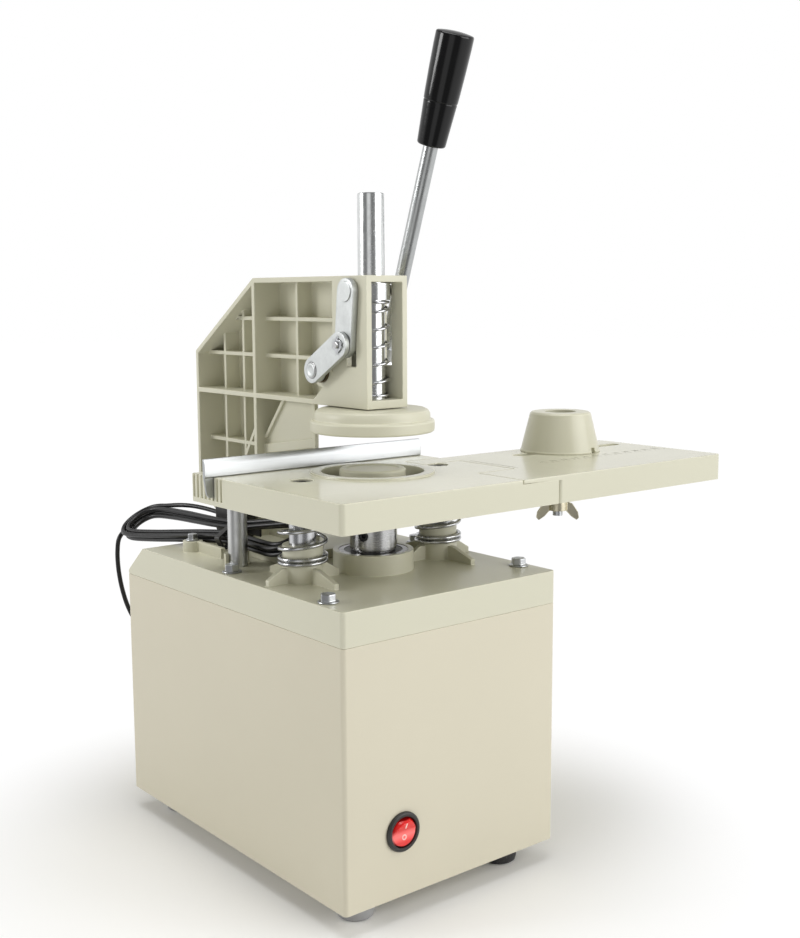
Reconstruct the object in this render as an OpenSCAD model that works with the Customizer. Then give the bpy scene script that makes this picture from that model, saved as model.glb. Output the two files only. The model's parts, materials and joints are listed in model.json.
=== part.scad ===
// Curtain hole punch: a motor turns a ring cutter under a sprung table, and a hand lever
// brings a press disc down on the cloth. Millimetres, +Z up, feet on Z = 0, the front towards -Y.

/* [Cabinet] */
// Width of the cabinet, side to side
cabinet_w = 160; // [150:1:190]
// Depth of the cabinet, front to back
cabinet_d = 243; // [238:1:280]
// Height of the cabinet walls
cabinet_h = 150; // [145:1:190]
// Thickness of the cabinet sheet
cabinet_wall = 2; // [1.5:0.1:3]
// Outer radius of the upright corners
corner_r = 2.6; // [2.5:0.1:4]
// Thickness of the bottom plate
bottom_t = 2; // [1.5:0.5:4]
// Height of the rubber feet
foot_h = 14; // [8:1:20]
// Radius of the rubber feet
foot_r = 11.5; // [9:0.5:14]
// Foot centres in from the sides of the cabinet
foot_in_x = 24; // [18:1:30]
// Foot centres in from the front and the back
foot_in_y = 23; // [20:1:26]

/* [Cover] */
// Height of the top cover
cover_h = 20; // [16:1:28]
// Thickness of the cover's skin
cover_wall = 3; // [2.5:0.5:4]
// Depth of the cover's flat top before the rear slope
flat_d = 221; // [218:1:230]
// Height of the lip under the rear slope
cover_lip = 1.5; // [1:0.5:3]
// Radius of the sleeves that guide the table posts
sleeve_r = 11.9; // [11.5:0.1:12.3]
// Height of the sleeves above the cover
sleeve_h = 22; // [18:1:26]
// Height of the spring seat above the cover
seat_h = 9; // [7:0.5:12]
// Reach of the seat ribs to the left and right
rib_reach_x = 25; // [20:1:27]
// Reach of the seat ribs to the front and back
rib_reach_y = 33; // [22:1:36]
// Thickness of the cover's ribs
rib_t = 3.4; // [2:0.2:5]
// Height of the screw bosses at the back of the cover
screw_boss_h = 7; // [5:0.5:9]

/* [Spindle] */
// Distance of the spindle from the cabinet's front
spindle_y = 76; // [72:1:80]
// Radius of the spindle at the bearing
spindle_r = 10; // [9:0.5:10]
// Outer radius of the spindle bearing
bearing_r = 21; // [20:0.5:22]
// Width of the spindle bearing
bearing_w = 12; // [10:0.5:14]
// Wall of the bearing housing round the bearing
housing_wall = 3.6; // [3:0.2:5]
// Radius of the cutter holder
holder_r = 14.2; // [13:0.2:16]
// Height of the cutter holder
holder_h = 25.7; // [24:0.1:27]
// Outer radius of the ring cutter
cutter_r = 22; // [20:0.5:25]
// Wall of the ring cutter
cutter_wall = 1.5; // [1:0.1:2]
// Cutter edge below the table top
cutter_drop = 3; // [2:0.5:5]
// Rise of the ejector pad above the table
ejector_rise = 3; // [1:0.5:3]

/* [Table] */
// Reach of the table to the left of the spindle
table_left = 85; // [80:1:95]
// Reach of the table to the right of the spindle
table_right = 75; // [72:1:82]
// Overhang of the table in front of the cabinet
table_over = 7; // [4:1:10]
// Back edge of the table behind the cabinet's front
table_back = 146; // [146:1:150]
// Gap between cover and table
table_gap = 42; // [38:1:46]
// Thickness of the table
table_t = 17; // [15:1:20]
// Thickness of the table's skin
table_skin = 5; // [4:0.5:6]
// Thickness of the table's walls
table_wall = 3.5; // [2.5:0.5:4.5]
// Radius of the table opening
hole_r = 31; // [29:0.5:33]
// Radius of the raised rim round the opening
rim_r = 37.5; // [36:0.5:39]
// Rise of the rim above the table
rim_rise = 1.2; // [0.4:0.1:1.3]
// Table posts, left and right of the spindle
post_x = 52; // [51:0.5:54]
// Radius of the table posts
post_r = 8; // [7:0.5:9]
// Rear guide posts, left and right of the spindle
guide_x = 59; // [58:1:64]
// Radius of the rear guide posts
guide_r = 6; // [5:0.5:6]
// Travel of the table against its springs
table_drop = 12; // [8:1:12]
// Number of grooves in the comb
comb_count = 8; // [7:1:9]
// Spacing of the comb's grooves
comb_pitch = 4.4; // [4:0.1:4.6]
// Width of a groove
comb_w = 2; // [1.6:0.1:2.4]

/* [Extension] */
// Reach of the extension to the right of the spindle
ext_reach = 230; // [226:1:260]
// Depth of the extension
ext_d = 107; // [102:1:112]
// Thickness of the extension's skin
ext_skin = 4; // [3:0.5:5]
// Overlap of the lap tongues on the table
lap = 29; // [20:1:30]
// Thickness of the lap tongues
lap_t = 2.5; // [1.5:0.5:3]
// Radius of the lap studs
stud_r = 3; // [2.5:0.5:4]
// Width of the cone's slot
slot_w = 8.6; // [8.6:0.2:10]
// Length of the cone's slot
slot_l = 102; // [90:1:108]
// Spacing of the eyelets, spindle to cone
eyelet_spacing = 162.4; // [160:0.1:175]
// Radius of the cone's base
cone_r = 26.5; // [24:0.5:28]
// Radius of the cone's top
cone_top_r = 20; // [18:0.5:22]
// Height of the cone
cone_h = 27; // [22:1:32]

/* [Fence] */
// Height of the fence above the table
fence_h = 11.2; // [10:0.2:18]
// Thickness of the fence
fence_t = 2.6; // [2.2:0.2:3.4]
// Groove that the fence stands in, counted from the back
fence_groove = 5; // [5:1:5]
// Reach of the fence beyond the table's left edge
tab_out = 6; // [4:0.2:8]
// Length of the tab below the table top
tab_drop = 12; // [9:1:13]

/* [Arm] */
// Width of the arm
arm_w = 30.4; // [29:0.2:33]
// Thickness of the arm's border walls
arm_wall = 3.2; // [2.8:0.2:3.8]
// Length of the arm's head
head_d = 34; // [33:0.5:36]
// Height of the arm's head
head_h = 77.7; // [76:0.1:80]
// Wall of the head's front window
window_wall = 3.8; // [3.4:0.2:4]
// Back of the arm's column
arm_back = 257; // [252:1:262]
// Front of the arm's column
column_y = 182; // [178:1:186]
// Height of the slope at the arm's rear corner
slope_drop = 49; // [40:1:56]
// Recess of the inner ribs behind the border
rib_recess = 9; // [6:0.5:11]
// Thickness of the inner ribs
arm_rib_t = 2.6; // [2:0.2:3.4]
// Width of the arm's foot flange
flange_w = 79; // [74:1:84]
// Thickness of the foot flange
flange_t = 6; // [5:0.5:8]

/* [Plunger] */
// Gap between table and press disc at rest
throat = 25; // [25:0.5:30]
// Radius of the press disc
disc_r = 37.5; // [35:0.5:38]
// Height of the disc's flange
disc_flange_h = 7.4; // [6:0.2:9]
// Height of the disc's upper step
disc_step_h = 6.5; // [6:0.2:8]
// Radius of the plunger rod
rod_r = 8; // [7:0.5:8]
// Rod above the arm's head
rod_over = 47.8; // [40:0.2:60]
// Radius of the nylon cutting pad
pad_r = 27; // [25:0.5:29]
// Thickness of the nylon cutting pad
pad_t = 4; // [3:0.5:4]

/* [Lever] */
// Distance of the lever shaft behind the spindle
shaft_back = 30; // [29:0.5:31]
// Height of the lever shaft above the head's bottom
shaft_up = 21.5; // [21:0.5:22]
// Radius of the lever shaft
shaft_r = 5; // [4:0.5:6]
// Length of the crank between its centres
crank_l = 31.4; // [31:0.1:32]
// Angle of the crank above the level
crank_angle = 30.6; // [30:0.1:31]
// Length of the upper link between its centres
link_l = 31.1; // [31:0.1:31.5]
// Width of the crank and the upper link
link_w = 15.6; // [14:0.2:16]
// Thickness of the crank
crank_t = 3; // [3:0.5:5]
// Thickness of the upper link
link_t = 4; // [4:0.5:6]
// Lean of the lever towards the front
lever_lean = 19.6; // [10:0.1:25]
// Lever side of the spindle
lever_x = 32; // [30:0.5:36]
// Length of the lever from shaft to tip
lever_l = 206; // [180:1:230]
// Radius of the lever rod
lever_r = 4.5; // [4:0.5:5]
// Length of the grip
grip_l = 66; // [55:1:80]
// Radius of the grip's top
grip_r = 11.2; // [9:0.2:13]

/* [Springs] */
// Wire of the table springs
table_wire = 2.2; // [1.6:0.1:2.4]
// Wire of the return spring
return_wire = 1.6; // [1.2:0.1:1.8]
// Pitch of the return spring's open turns
return_pitch = 10.2; // [8:0.2:11]

/* [Motor] */
// Radius of the motor can
motor_r = 46; // [40:1:48]
// Length of the motor can
motor_l = 92; // [70:1:92]
// Gap between cover and motor flange
motor_drop = 23; // [23:1:26]

/* [Switch] */
// Switch left of the cabinet's middle
switch_left = 40; // [30:1:50]
// Height of the switch on the cabinet
switch_up = 38.5; // [30:0.5:60]
// Radius of the switch bezel
bezel_r = 11.5; // [11:0.1:13]

/* [Cord] */
// Diameter of the mains cord
cord_d = 3.2; // [2.8:0.1:3.4]
// Radius of the hank's inner folds
fold_r = 10.2; // [10.2:0.1:11]

/* [Fits] */
// Radial clearance of running fits
running_fit = 0.08; // [0.04:0.01:0.1]
// Clearance between pieces fixed to each other
part_gap = 0.1; // [0.05:0.01:0.15]
// Clearance between bodies that pass each other
pass_gap = 0.5; // [0.4:0.05:0.6]

/* [Hidden] */
cut = 1;
fine = 64;
small = 32;
beige = [0.85, 0.84, 0.76];
cabinet_beige = [0.85, 0.83, 0.75];
steel = [0.78, 0.79, 0.80];
zinc = [0.70, 0.71, 0.70];
dark = [0.16, 0.16, 0.17];
black = [0.05, 0.05, 0.06];
red = [0.75, 0.08, 0.06];
silver = [0.80, 0.81, 0.82];
white = [0.93, 0.93, 0.90];

// Levels from the floor up
z_cover = foot_h + cabinet_h;
z_top = z_cover + cover_h;
z_table = z_top + table_gap;
z_table_top = z_table + table_t;
z_disc = z_table_top + throat;
head_gap = 0.6;
z_head = z_disc + disc_flange_h + disc_step_h + head_gap;
z_head_top = z_head + head_h;
z_floor_plate = foot_h + bottom_t;

// Cover
half_w = cabinet_w/2;
inner_r = max(corner_r - cabinet_wall, 0.4);
housing_r = bearing_r + housing_wall;
housing_h = bearing_w + 0.3;
slope_run = cabinet_d - flat_d;
slope_fall = cover_h - cover_lip;
slope_len = sqrt(slope_run*slope_run + slope_fall*slope_fall);
// Level run of the slope per millimetre of height, and the skin's offset measured level
slope_rate = slope_run/slope_fall;
slope_skin = cover_wall*slope_len/slope_fall;
post_places = [[-post_x, spindle_y], [post_x, spindle_y]];
guide_y = table_back - 10;
guide_places = [[-guide_x, guide_y], [guide_x, guide_y]];
bolt_r = 2.5;
bolt_in = 8;
edge_bolts = [for (x = [-1, 1], y = [23.5, guide_y - 14]) [x*(half_w - bolt_in), y]];
boss_x = 57.7;
boss_y = flat_d - 27.6;
boss_bolts = [[-boss_x, boss_y], [boss_x, boss_y]];
boss_r = 6.5;
pillar_r = 6;
lug_t = 3;
foot_places = [for (x = [-1, 1], y = [foot_in_y, cabinet_d - foot_in_y])
    [x*(half_w - foot_in_x), y]];
foot_stud_r = 3;

// Spindle stack above the cover
z_bearing_top = z_top + bearing_w;
z_holder = z_bearing_top;
z_holder_top = z_holder + holder_h;
cutter_base_t = 5;
z_cutter_base = z_holder_top + cutter_base_t;
cutter_in = cutter_r - cutter_wall;
z_cutter_edge = z_table_top - cutter_drop;
ejector_r = cutter_in - pass_gap;
ejector_t = 9;
z_ejector_top = z_table_top + ejector_rise;
z_ejector = z_ejector_top - ejector_t;
stem_r = 3;
nose_r = 8;
nose_h = 16;
spigot_r = 7;
spigot_h = 6;
ball_r = 3;
ball_track = (bearing_r + spindle_r)/2;
race_gap = 2.4;

// Table
notch_half = arm_w/2 + 2.3;
comb_last = table_back - 4;
fence_y = comb_last - fence_groove*comb_pitch;
fence_back = fence_y + fence_t/2;
foot_front = fence_back + 1.5;
post_boss_r = post_r + 3;
recess_r = 6.5;
recess_h = 6;
guide_in = 2;
comb_foot = 3;
ext_back = ext_d - table_over;
lap_edges = [[-table_over, 38], [ext_back - 18, 18]];
lap_gap = 0.7;
lug_x = table_right + 13;
lug_w = 19;
lug_l = 25;
lug_h = 4;
lap_lugs = [13.5 - table_over, ext_back - 17];
wing_h = 7;
wing_hub_r = 5.6;
slot_y = spindle_y;
slot_end = ext_reach - 9;
cone_bolt_r = 4;
table_corner = 3;
ext_corner = 3.5;
seam_corner = 2.6;

// Fence
fence_right = table_right - 1;
frame_left = table_left + tab_out;

// Arm
head_front = spindle_y - 15;
head_back = head_front + head_d;
cavity_half = arm_w/2 - window_wall;
cavity_back = spindle_y + 14;
sill = 5;
web_left = 5;
web_t = 3.5;
rib_left = -arm_w/2 + rib_recess;
chin_left = -9;
chin_right = chin_left + 2 + web_t;
chin_slant = 4;
shaft_y = spindle_y + shaft_back;
shaft_z = z_head + shaft_up;
slope_z = z_head_top - slope_drop;
column_low = z_top + 31;
foot_back = flat_d - 4;
flange_front = foot_front - 6;
arm_outline = [[head_front, z_head], [head_front, z_head_top], [column_y, z_head_top],
    [arm_back, slope_z], [arm_back, column_low], [foot_back, z_top + flange_t],
    [foot_back, z_top], [foot_front, z_top], [foot_front, z_head]];
web_outline = [for (i = [0:9]) i < 7 ? arm_outline[i] : i == 7 ? [column_y, z_top]
    : i == 8 ? [column_y, z_head - 28] : [column_y - 25, z_head]];
chin_outline = [[foot_front, z_top], [foot_front, z_head + 1], [column_y - 25, z_head + 1],
    [column_y - 2, z_head - 26.5], [column_y, z_head - 28], [column_y, z_top]];
bush_r = shaft_r + 2.5;
boss_wall = 3;
arm_bolt_places = [for (x = [-1, 1], y = [flange_front + 9, foot_back - 12])
    [x*(flange_w/2 - 7), y]];
arm_bolt_r = 3;

// Linkage
mid_y = shaft_y - crank_l*cos(crank_angle);
mid_z = shaft_z + crank_l*sin(crank_angle);
pin_z = mid_z + sqrt(link_l*link_l - (mid_y - spindle_y)*(mid_y - spindle_y));
pin_r = 4;
mid_pin_r = 3.5;
pin_tip_r = 2;
link_in = arm_w/2 + pass_gap;
link_out = link_in + link_t;
crank_in = link_out + 0.3;
crank_out = crank_in + crank_t;
collar_half = 5;
slot_low = z_head + 24.5;
hub_r = 9;
hub_in = arm_w/2 + 2;
hub_out = lever_x + 9;
rod_foot = z_disc + pad_t + 2;

// Motor
z_flange = z_top - cover_wall - motor_drop;
flange_h = 8;
z_can = z_flange - flange_h - motor_l;
bell_h = 10;
z_bell = z_can - bell_h;
fan_h = 12;
z_fan = z_bell - fan_h - 2;
stud_reach = 38;
motor_stud_r = 3;
capacitor_r = 16;
capacitor_h = 52;
motor_studs_at = [for (x = [-1, 1], y = [-1, 1]) [x*stud_reach, spindle_y + y*stud_reach]];

// Switch
switch_z = foot_h + switch_up;
barrel_r = 9.9;
barrel_l = 20;
bore_r = 9;
rocker_r = bore_r - 0.3;
bezel_t = 2.2;
rocker_tilt = 10;
pivot_in = 1.8;

// Cord: the hank lies on the cover left of the arm, on a plane tilted up to the right
cord_r = cord_d/2;
hank_pitch = cord_d + 0.75;
hank_front = [-34.5, 118, z_top + 18];
hank_rear = [-50.5, 272, z_top + 7];
hank_tilt = 30;
hank_mid = (hank_front + hank_rear)/2;
hank_half = norm(hank_rear - hank_front)/2;
hank_s = (hank_rear - hank_front)/(2*hank_half);
tilt_axis = [cos(hank_tilt), 0, sin(hank_tilt)];
hank_n = cross(tilt_axis, hank_s)/norm(cross(tilt_axis, hank_s));
hank_u = cross(hank_s, hank_n);
waist_s = -24;
waist_draw = 7;
loop_rings = 24;
hold_from = 2.1;
hold_to = 2.375;
tail_from = 99;
tail_rings = 10;
plug_w = 24;
plug_t = 13.4;
plug_l = 30;
tie_gap = 0.5;
tie_t = 1.2;
tie_l = 5;
tie_n = hank_pitch/2 + cord_r + tie_gap;
plug_at = [-arm_w/2 - 0.6 - plug_t/2, foot_back - 5, z_top + flange_t + plug_w/2 + 0.1];
tail_pull = 55;
tail_lift = 2.5;
gland_at = [-58, cabinet_d, z_top - 66];
gland_out = 22;
gland_r = 5;

// Origin of the part: the middle of its plan, on the floor
mid_plan = [(ext_reach - frame_left)/2, (arm_back - table_over)/2];

// Helpers
module in_frame() translate([-mid_plan[0], -mid_plan[1], 0]) children();

module rounded_plan(w, d, r) {
    translate([-w/2 + r, -d/2]) square([w - 2*r, d]);
    translate([-w/2, -d/2 + r]) square([w, d - 2*r]);
    for (x = [-1, 1], y = [-1, 1])
        translate([x*(w/2 - r), y*(d/2 - r)]) circle(r = r, $fn = small);
}

module side_plate(from, to) translate([from, 0, 0]) rotate([90, 0, 90])
    linear_extrude(to - from) children();

module rod_x(r, from, to) translate([from, 0, 0]) rotate([0, 90, 0])
    cylinder(r = r, h = to - from, $fn = small);

module rod_y(r, from, to) translate([0, from, 0]) rotate([-90, 0, 0])
    cylinder(r = r, h = to - from, $fn = small);

module strip(a, b, t) {
    len = norm(b - a);
    translate(a) rotate(atan2(b[1] - a[1], b[0] - a[0])) translate([0, -t/2]) square([len, t]);
}

module link_plan(a, b, w) {
    strip(a, b, w);
    for (p = [a, b]) translate(p) circle(d = w, $fn = small);
}

module hex(across, h) cylinder(d = across/cos(30), h = h, $fn = 6);

function unit(v) = v/norm(v);

function ring(c, t, side, r, n) = let (a = unit(cross(t, side)), b = cross(unit(t), a))
    [for (k = [0:n - 1]) c + r*(cos(360*k/n)*a + sin(360*k/n)*b)];

function tangent(p, i) = p[min(i + 1, len(p) - 1)] - p[max(i - 1, 0)];

// One unbroken tube of n sides along the points p
module tube(p, side, r, n) {
    m = len(p);
    polyhedron(
        points = [for (i = [0:m - 1]) each ring(p[i], tangent(p, i), side, r, n)],
        faces = concat(
            [for (i = [0:m - 2], k = [0:n - 1]) [i*n + k, (i + 1)*n + k, i*n + (k + 1) % n]],
            [for (i = [0:m - 2], k = [0:n - 1])
                [i*n + (k + 1) % n, (i + 1)*n + k, (i + 1)*n + (k + 1) % n]],
            [for (k = [1:n - 2]) [0, k, k + 1]],
            [for (k = [1:n - 2]) [(m - 1)*n, (m - 1)*n + k + 1, (m - 1)*n + k]]));
}

// Distance from a point to the stretch between two points
function to_stretch(q, a, b) = let (d = b - a, f = max(0, min(1, ((q - a)*d)/(d*d))))
    norm(q - a - f*d);

// Least gap of a tube to itself, leaving out the neighbouring stretches
function least_gap(p, d, apart) = min([for (i = [0:len(p) - 1])
    for (j = [i + apart:1:len(p) - 2]) to_stretch(p[i], p[j], p[j + 1])]) - d;

// Centre line of a coil: closed turns at both ends, open turns between
function coil(r, from, to, wire, low, open, high) = let (turns = low + open + high,
    close = wire + 0.6, rise = to - from - wire - 0.1 - close*(low + high), n = round(turns*8))
    [for (i = [0:n]) let (a = i*turns/n) [r*cos(360*a), r*sin(360*a),
        from + wire/2 + 0.05 + close*min(a, low) + rise*min(max(a - low, 0), open)/open
        + close*max(a - low - open, 0)]];

module coil_tube(p, wire) {
    m = len(p);
    n = 6;
    polyhedron(
        points = [for (i = [0:m - 1]) let (o = unit([p[i][0], p[i][1], 0])) for (k = [0:n - 1])
            p[i] + wire/2*(cos(360*k/n)*o + sin(360*k/n)*[0, 0, 1])],
        faces = concat(
            [for (i = [0:m - 2], k = [0:n - 1]) [i*n + k, i*n + (k + 1) % n, (i + 1)*n + k]],
            [for (i = [0:m - 2], k = [0:n - 1])
                [i*n + (k + 1) % n, (i + 1)*n + (k + 1) % n, (i + 1)*n + k]],
            [for (k = [1:n - 2]) [0, k + 1, k]],
            [for (k = [1:n - 2]) [(m - 1)*n, (m - 1)*n + k, (m - 1)*n + k + 1]]));
}

// Cabinet and base
module cabinet() color(cabinet_beige) in_frame() difference() {
    union() {
        translate([0, cabinet_d/2, foot_h]) linear_extrude(cabinet_h) difference() {
            rounded_plan(cabinet_w, cabinet_d, corner_r);
            rounded_plan(cabinet_w - 2*cabinet_wall, cabinet_d - 2*cabinet_wall, inner_r);
        }
        for (p = concat(edge_bolts, boss_bolts)) let (reach = half_w - cabinet_wall/2)
            translate([p[0] < 0 ? -reach : p[0] - pillar_r, p[1] - pillar_r, z_cover - lug_t])
                cube([reach - abs(p[0]) + pillar_r, 2*pillar_r, lug_t]);
    }
    for (p = concat(edge_bolts, boss_bolts)) translate([p[0], p[1], z_cover - lug_t - cut])
        cylinder(r = bolt_r + part_gap, h = lug_t + 2*cut, $fn = small);
    translate([-switch_left, 0, switch_z]) rod_y(barrel_r + part_gap, -cut, cabinet_wall + cut);
    translate([gland_at[0], 0, gland_at[2]])
        rod_y(gland_r + part_gap, cabinet_d - cabinet_wall - cut, cabinet_d + cut);
    for (i = [0:5]) translate([4 + 9*i, cabinet_d - cabinet_wall - cut, foot_h + 34])
        cube([4, cabinet_wall + 2*cut, 42]);
}

module bottom_plate() color(cabinet_beige) in_frame() difference() {
    translate([0, cabinet_d/2, foot_h]) linear_extrude(bottom_t)
        rounded_plan(cabinet_w - 2*cabinet_wall - 2*part_gap, cabinet_d - 2*cabinet_wall
            - 2*part_gap, inner_r);
    for (p = foot_places) translate([p[0], p[1], foot_h - cut])
        cylinder(r = foot_stud_r + part_gap, h = bottom_t + 2*cut, $fn = small);
    for (i = [-3:3]) translate([9*i - 2, spindle_y - 22, foot_h - cut])
        cube([4, 44, bottom_t + 2*cut]);
}

module cover_body(inset, top) let (w = cabinet_w - 2*inset, skin = inset > 0 ? slope_skin : 0)
    intersection() {
        translate([0, cabinet_d/2, z_cover - inset]) linear_extrude(top + inset)
            rounded_plan(w, cabinet_d - 2*inset, max(corner_r - inset, 1));
        side_plate(-half_w, half_w) polygon([[0, z_cover - inset], [0, z_cover + top],
            [flat_d - skin + slope_rate*(cover_h - top), z_cover + top],
            [cabinet_d - skin, z_cover + cover_lip],
            [cabinet_d - skin, z_cover - inset]]);
    }

module seat_rib(reach) rotate([90, 0, 0]) translate([0, 0, -rib_t/2]) linear_extrude(rib_t)
    polygon([[post_r + 2, -cut], [post_r + 2, seat_h], [sleeve_r + 4, seat_h],
        [reach, 3.5], [reach, -cut]]);

module top_cover() color(beige) in_frame() difference() {
    union() {
        difference() {
            cover_body(0, cover_h);
            cover_body(cover_wall, cover_h - cover_wall);
        }
        translate([0, spindle_y, z_top - cover_wall])
            cylinder(r = housing_r, h = cover_wall + housing_h, $fn = fine);
        for (p = post_places) translate([p[0], p[1], z_top]) {
            translate([0, 0, -cover_wall - 10])
                cylinder(r = sleeve_r, h = cover_wall + 10 + sleeve_h, $fn = fine);
            for (a = [0, 180]) rotate(a) seat_rib(rib_reach_x);
            for (a = [90, 270]) rotate(a) seat_rib(rib_reach_y);
        }
        for (p = guide_places) translate([p[0], p[1], z_top - cover_wall]) difference() {
            cylinder(r = guide_r + 2.6, h = cover_wall + 8, $fn = small);
            translate([-guide_r - 3, -guide_r - 3, cover_wall])
                cube([2*guide_r + 6, guide_r + 3, 8 + cut]);
        }
        for (p = boss_bolts) {
            translate([p[0], p[1], z_cover])
                cylinder(r = boss_r, h = cover_h + screw_boss_h, $fn = small);
            translate([p[0] - rib_t/2 + 1.7*(p[0] < 0 ? 1 : -1), p[1] - 35, z_top - cut])
                cube([rib_t, 31, screw_boss_h + cut]);
        }
        for (p = edge_bolts) translate([p[0], p[1], z_cover])
            cylinder(r = pillar_r - 0.4, h = cover_h - cut, $fn = small);
        for (p = motor_studs_at) translate([p[0], p[1], z_top - cover_wall - 7])
            cylinder(r = 6, h = 8, $fn = small);
    }
    translate([0, spindle_y, z_top])
        cylinder(r = bearing_r + part_gap, h = housing_h + cut, $fn = fine);
    translate([0, spindle_y, z_cover]) cylinder(r = bearing_r - 4, h = cover_h + cut, $fn = fine);
    for (p = post_places) translate([p[0], p[1], z_cover])
        cylinder(r = post_r + running_fit, h = cover_h + sleeve_h + cut, $fn = fine);
    for (p = guide_places) translate([p[0], p[1], z_top - cover_wall])
        cylinder(r = guide_r + part_gap, h = cover_wall + 8 + cut, $fn = small);
    for (p = concat(edge_bolts, boss_bolts)) translate([p[0], p[1], z_cover - cut])
        cylinder(r = bolt_r + part_gap, h = cover_h + screw_boss_h + 2*cut, $fn = small);
    for (p = arm_bolt_places) translate([p[0], p[1], z_top - cover_wall - cut])
        cylinder(r = arm_bolt_r + part_gap, h = cover_wall + 2*cut, $fn = small);
    for (p = motor_studs_at) translate([p[0], p[1], z_top - cover_wall - 7 - cut])
        cylinder(r = motor_stud_r + part_gap, h = 7 + cut, $fn = small);
}

module cover_bolt(z, across, h) translate([0, 0, z]) {
    cylinder(r = 0.75*across, h = 1, $fn = small);
    translate([0, 0, 1]) hex(across, h);
    translate([0, 0, -z + z_cover - lug_t - 4])
        cylinder(r = bolt_r, h = z - z_cover + lug_t + 4 + 1, $fn = small);
}

module cover_bolts() color(zinc) in_frame() {
    for (p = edge_bolts) translate([p[0], p[1], 0]) cover_bolt(z_top, 8, 4);
    for (p = boss_bolts) translate([p[0], p[1], 0]) cover_bolt(z_top + screw_boss_h, 6, 3.4);
}

module feet() color(black) in_frame() for (p = foot_places) translate([p[0], p[1], 0])
    rotate_extrude($fn = fine) polygon([[0, 0], [foot_r - 2, 0], [foot_r - 1, 1],
        [foot_r, foot_h - 2], [foot_r, foot_h], [0, foot_h]]);

module foot_studs() color(zinc) in_frame() for (p = foot_places) translate([p[0], p[1], foot_h]) {
    cylinder(r = foot_stud_r, h = bottom_t + 8, $fn = small);
    translate([0, 0, bottom_t]) hex(10, 5);
}

// Switch
module switch_bezel() color(black) in_frame() translate([-switch_left, 0, switch_z]) difference() {
    union() {
        rotate([90, 0, 0]) rotate_extrude($fn = fine) polygon([[0, 0], [bezel_r, 0],
            [bezel_r, bezel_t - 0.8], [bezel_r - 0.8, bezel_t], [0, bezel_t]]);
        rod_y(barrel_r, 0, barrel_l);
    }
    rod_y(bore_r, -bezel_t - cut, barrel_l - 5);
}

module switch_rocker() color(red) in_frame() translate([-switch_left, pivot_in, switch_z])
    intersection() {
        sphere(r = rocker_r, $fn = fine);
        rotate([rocker_tilt, 0, 0]) side_plate(-rocker_r, rocker_r)
            polygon([[-5.4, rocker_r], [-3.6, 0], [-5.4, -rocker_r], [5, -5], [5, 5]]);
    }

// Motor
module motor_flange() color(zinc) in_frame() translate([0, spindle_y, z_flange - flange_h])
    difference() {
        linear_extrude(flange_h)
            rounded_plan(2*stud_reach + 18, 2*stud_reach + 18, 8);
        translate([0, 0, -cut]) cylinder(r = spindle_r + 1, h = flange_h + 2*cut, $fn = small);
        for (p = motor_studs_at) translate([p[0], p[1] - spindle_y, -cut])
            cylinder(r = motor_stud_r + part_gap, h = flange_h + 2*cut, $fn = small);
    }

module motor_can() color(dark) in_frame() translate([0, spindle_y, z_bell]) difference() {
    union() {
        translate([0, 0, bell_h]) cylinder(r = motor_r, h = motor_l, $fn = fine);
        cylinder(r1 = motor_r - 8, r2 = motor_r, h = bell_h, $fn = fine);
    }
    translate([0, 0, -cut])
        cylinder(r = spindle_r + 1, h = motor_l + bell_h + 2*cut, $fn = small);
}

module motor_studs() color(zinc) in_frame() for (p = motor_studs_at) translate([p[0], p[1], 0]) {
    translate([0, 0, z_flange]) cylinder(r = 5, h = motor_drop - 7, $fn = small);
    translate([0, 0, z_flange - flange_h - 6])
        cylinder(r = motor_stud_r, h = flange_h + 6 + motor_drop - 1, $fn = small);
}

module motor_fan() color(black) in_frame() translate([0, spindle_y, z_fan]) difference() {
    union() {
        cylinder(r = spindle_r + 5, h = fan_h, $fn = small);
        cylinder(r = motor_r - 10, h = 2, $fn = fine);
        for (a = [0:45:315]) rotate(a) translate([spindle_r + 4, -1, 0])
            cube([motor_r - 16 - spindle_r, 2, fan_h]);
    }
    translate([0, 0, -cut]) cylinder(r = spindle_r + part_gap, h = fan_h + 2*cut, $fn = small);
}

module capacitor() color(silver) in_frame()
    translate([half_w - capacitor_r - 20, cabinet_d - capacitor_r - 34, z_floor_plate]) {
    cylinder(r = capacitor_r, h = capacitor_h, $fn = fine);
    translate([0, 0, capacitor_h]) cylinder(r = capacitor_r - 3, h = 2, $fn = small);
    for (x = [-6, 4]) translate([x, -3, capacitor_h + 2]) cube([1, 6, 8]);
}

// Spindle, bearing and cutter
module spindle() color(steel) in_frame() translate([0, spindle_y, 0]) {
    translate([0, 0, z_fan - 2]) cylinder(r = spindle_r, h = z_holder - z_fan + 2, $fn = fine);
    translate([0, 0, z_holder - cut]) cylinder(r = nose_r, h = nose_h + cut, $fn = small);
}

module track() rotate_extrude($fn = fine) translate([ball_track, bearing_w/2])
    circle(r = ball_r + running_fit, $fn = small);

module bearing_outer_ring() color(steel) in_frame() translate([0, spindle_y, z_top]) difference() {
    cylinder(r = bearing_r, h = bearing_w, $fn = fine);
    translate([0, 0, -cut])
        cylinder(r = ball_track + race_gap, h = bearing_w + 2*cut, $fn = fine);
    track();
}

module bearing_inner_ring() color(steel) in_frame() translate([0, spindle_y, z_top]) difference() {
    cylinder(r = ball_track - race_gap, h = bearing_w, $fn = fine);
    translate([0, 0, -cut])
        cylinder(r = spindle_r + part_gap, h = bearing_w + 2*cut, $fn = fine);
    track();
}

module bearing_balls() color(steel) in_frame() translate([0, spindle_y, z_top + bearing_w/2])
    for (a = [0:45:315]) rotate(a) translate([ball_track, 0, 0]) sphere(r = ball_r, $fn = 16);

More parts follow.
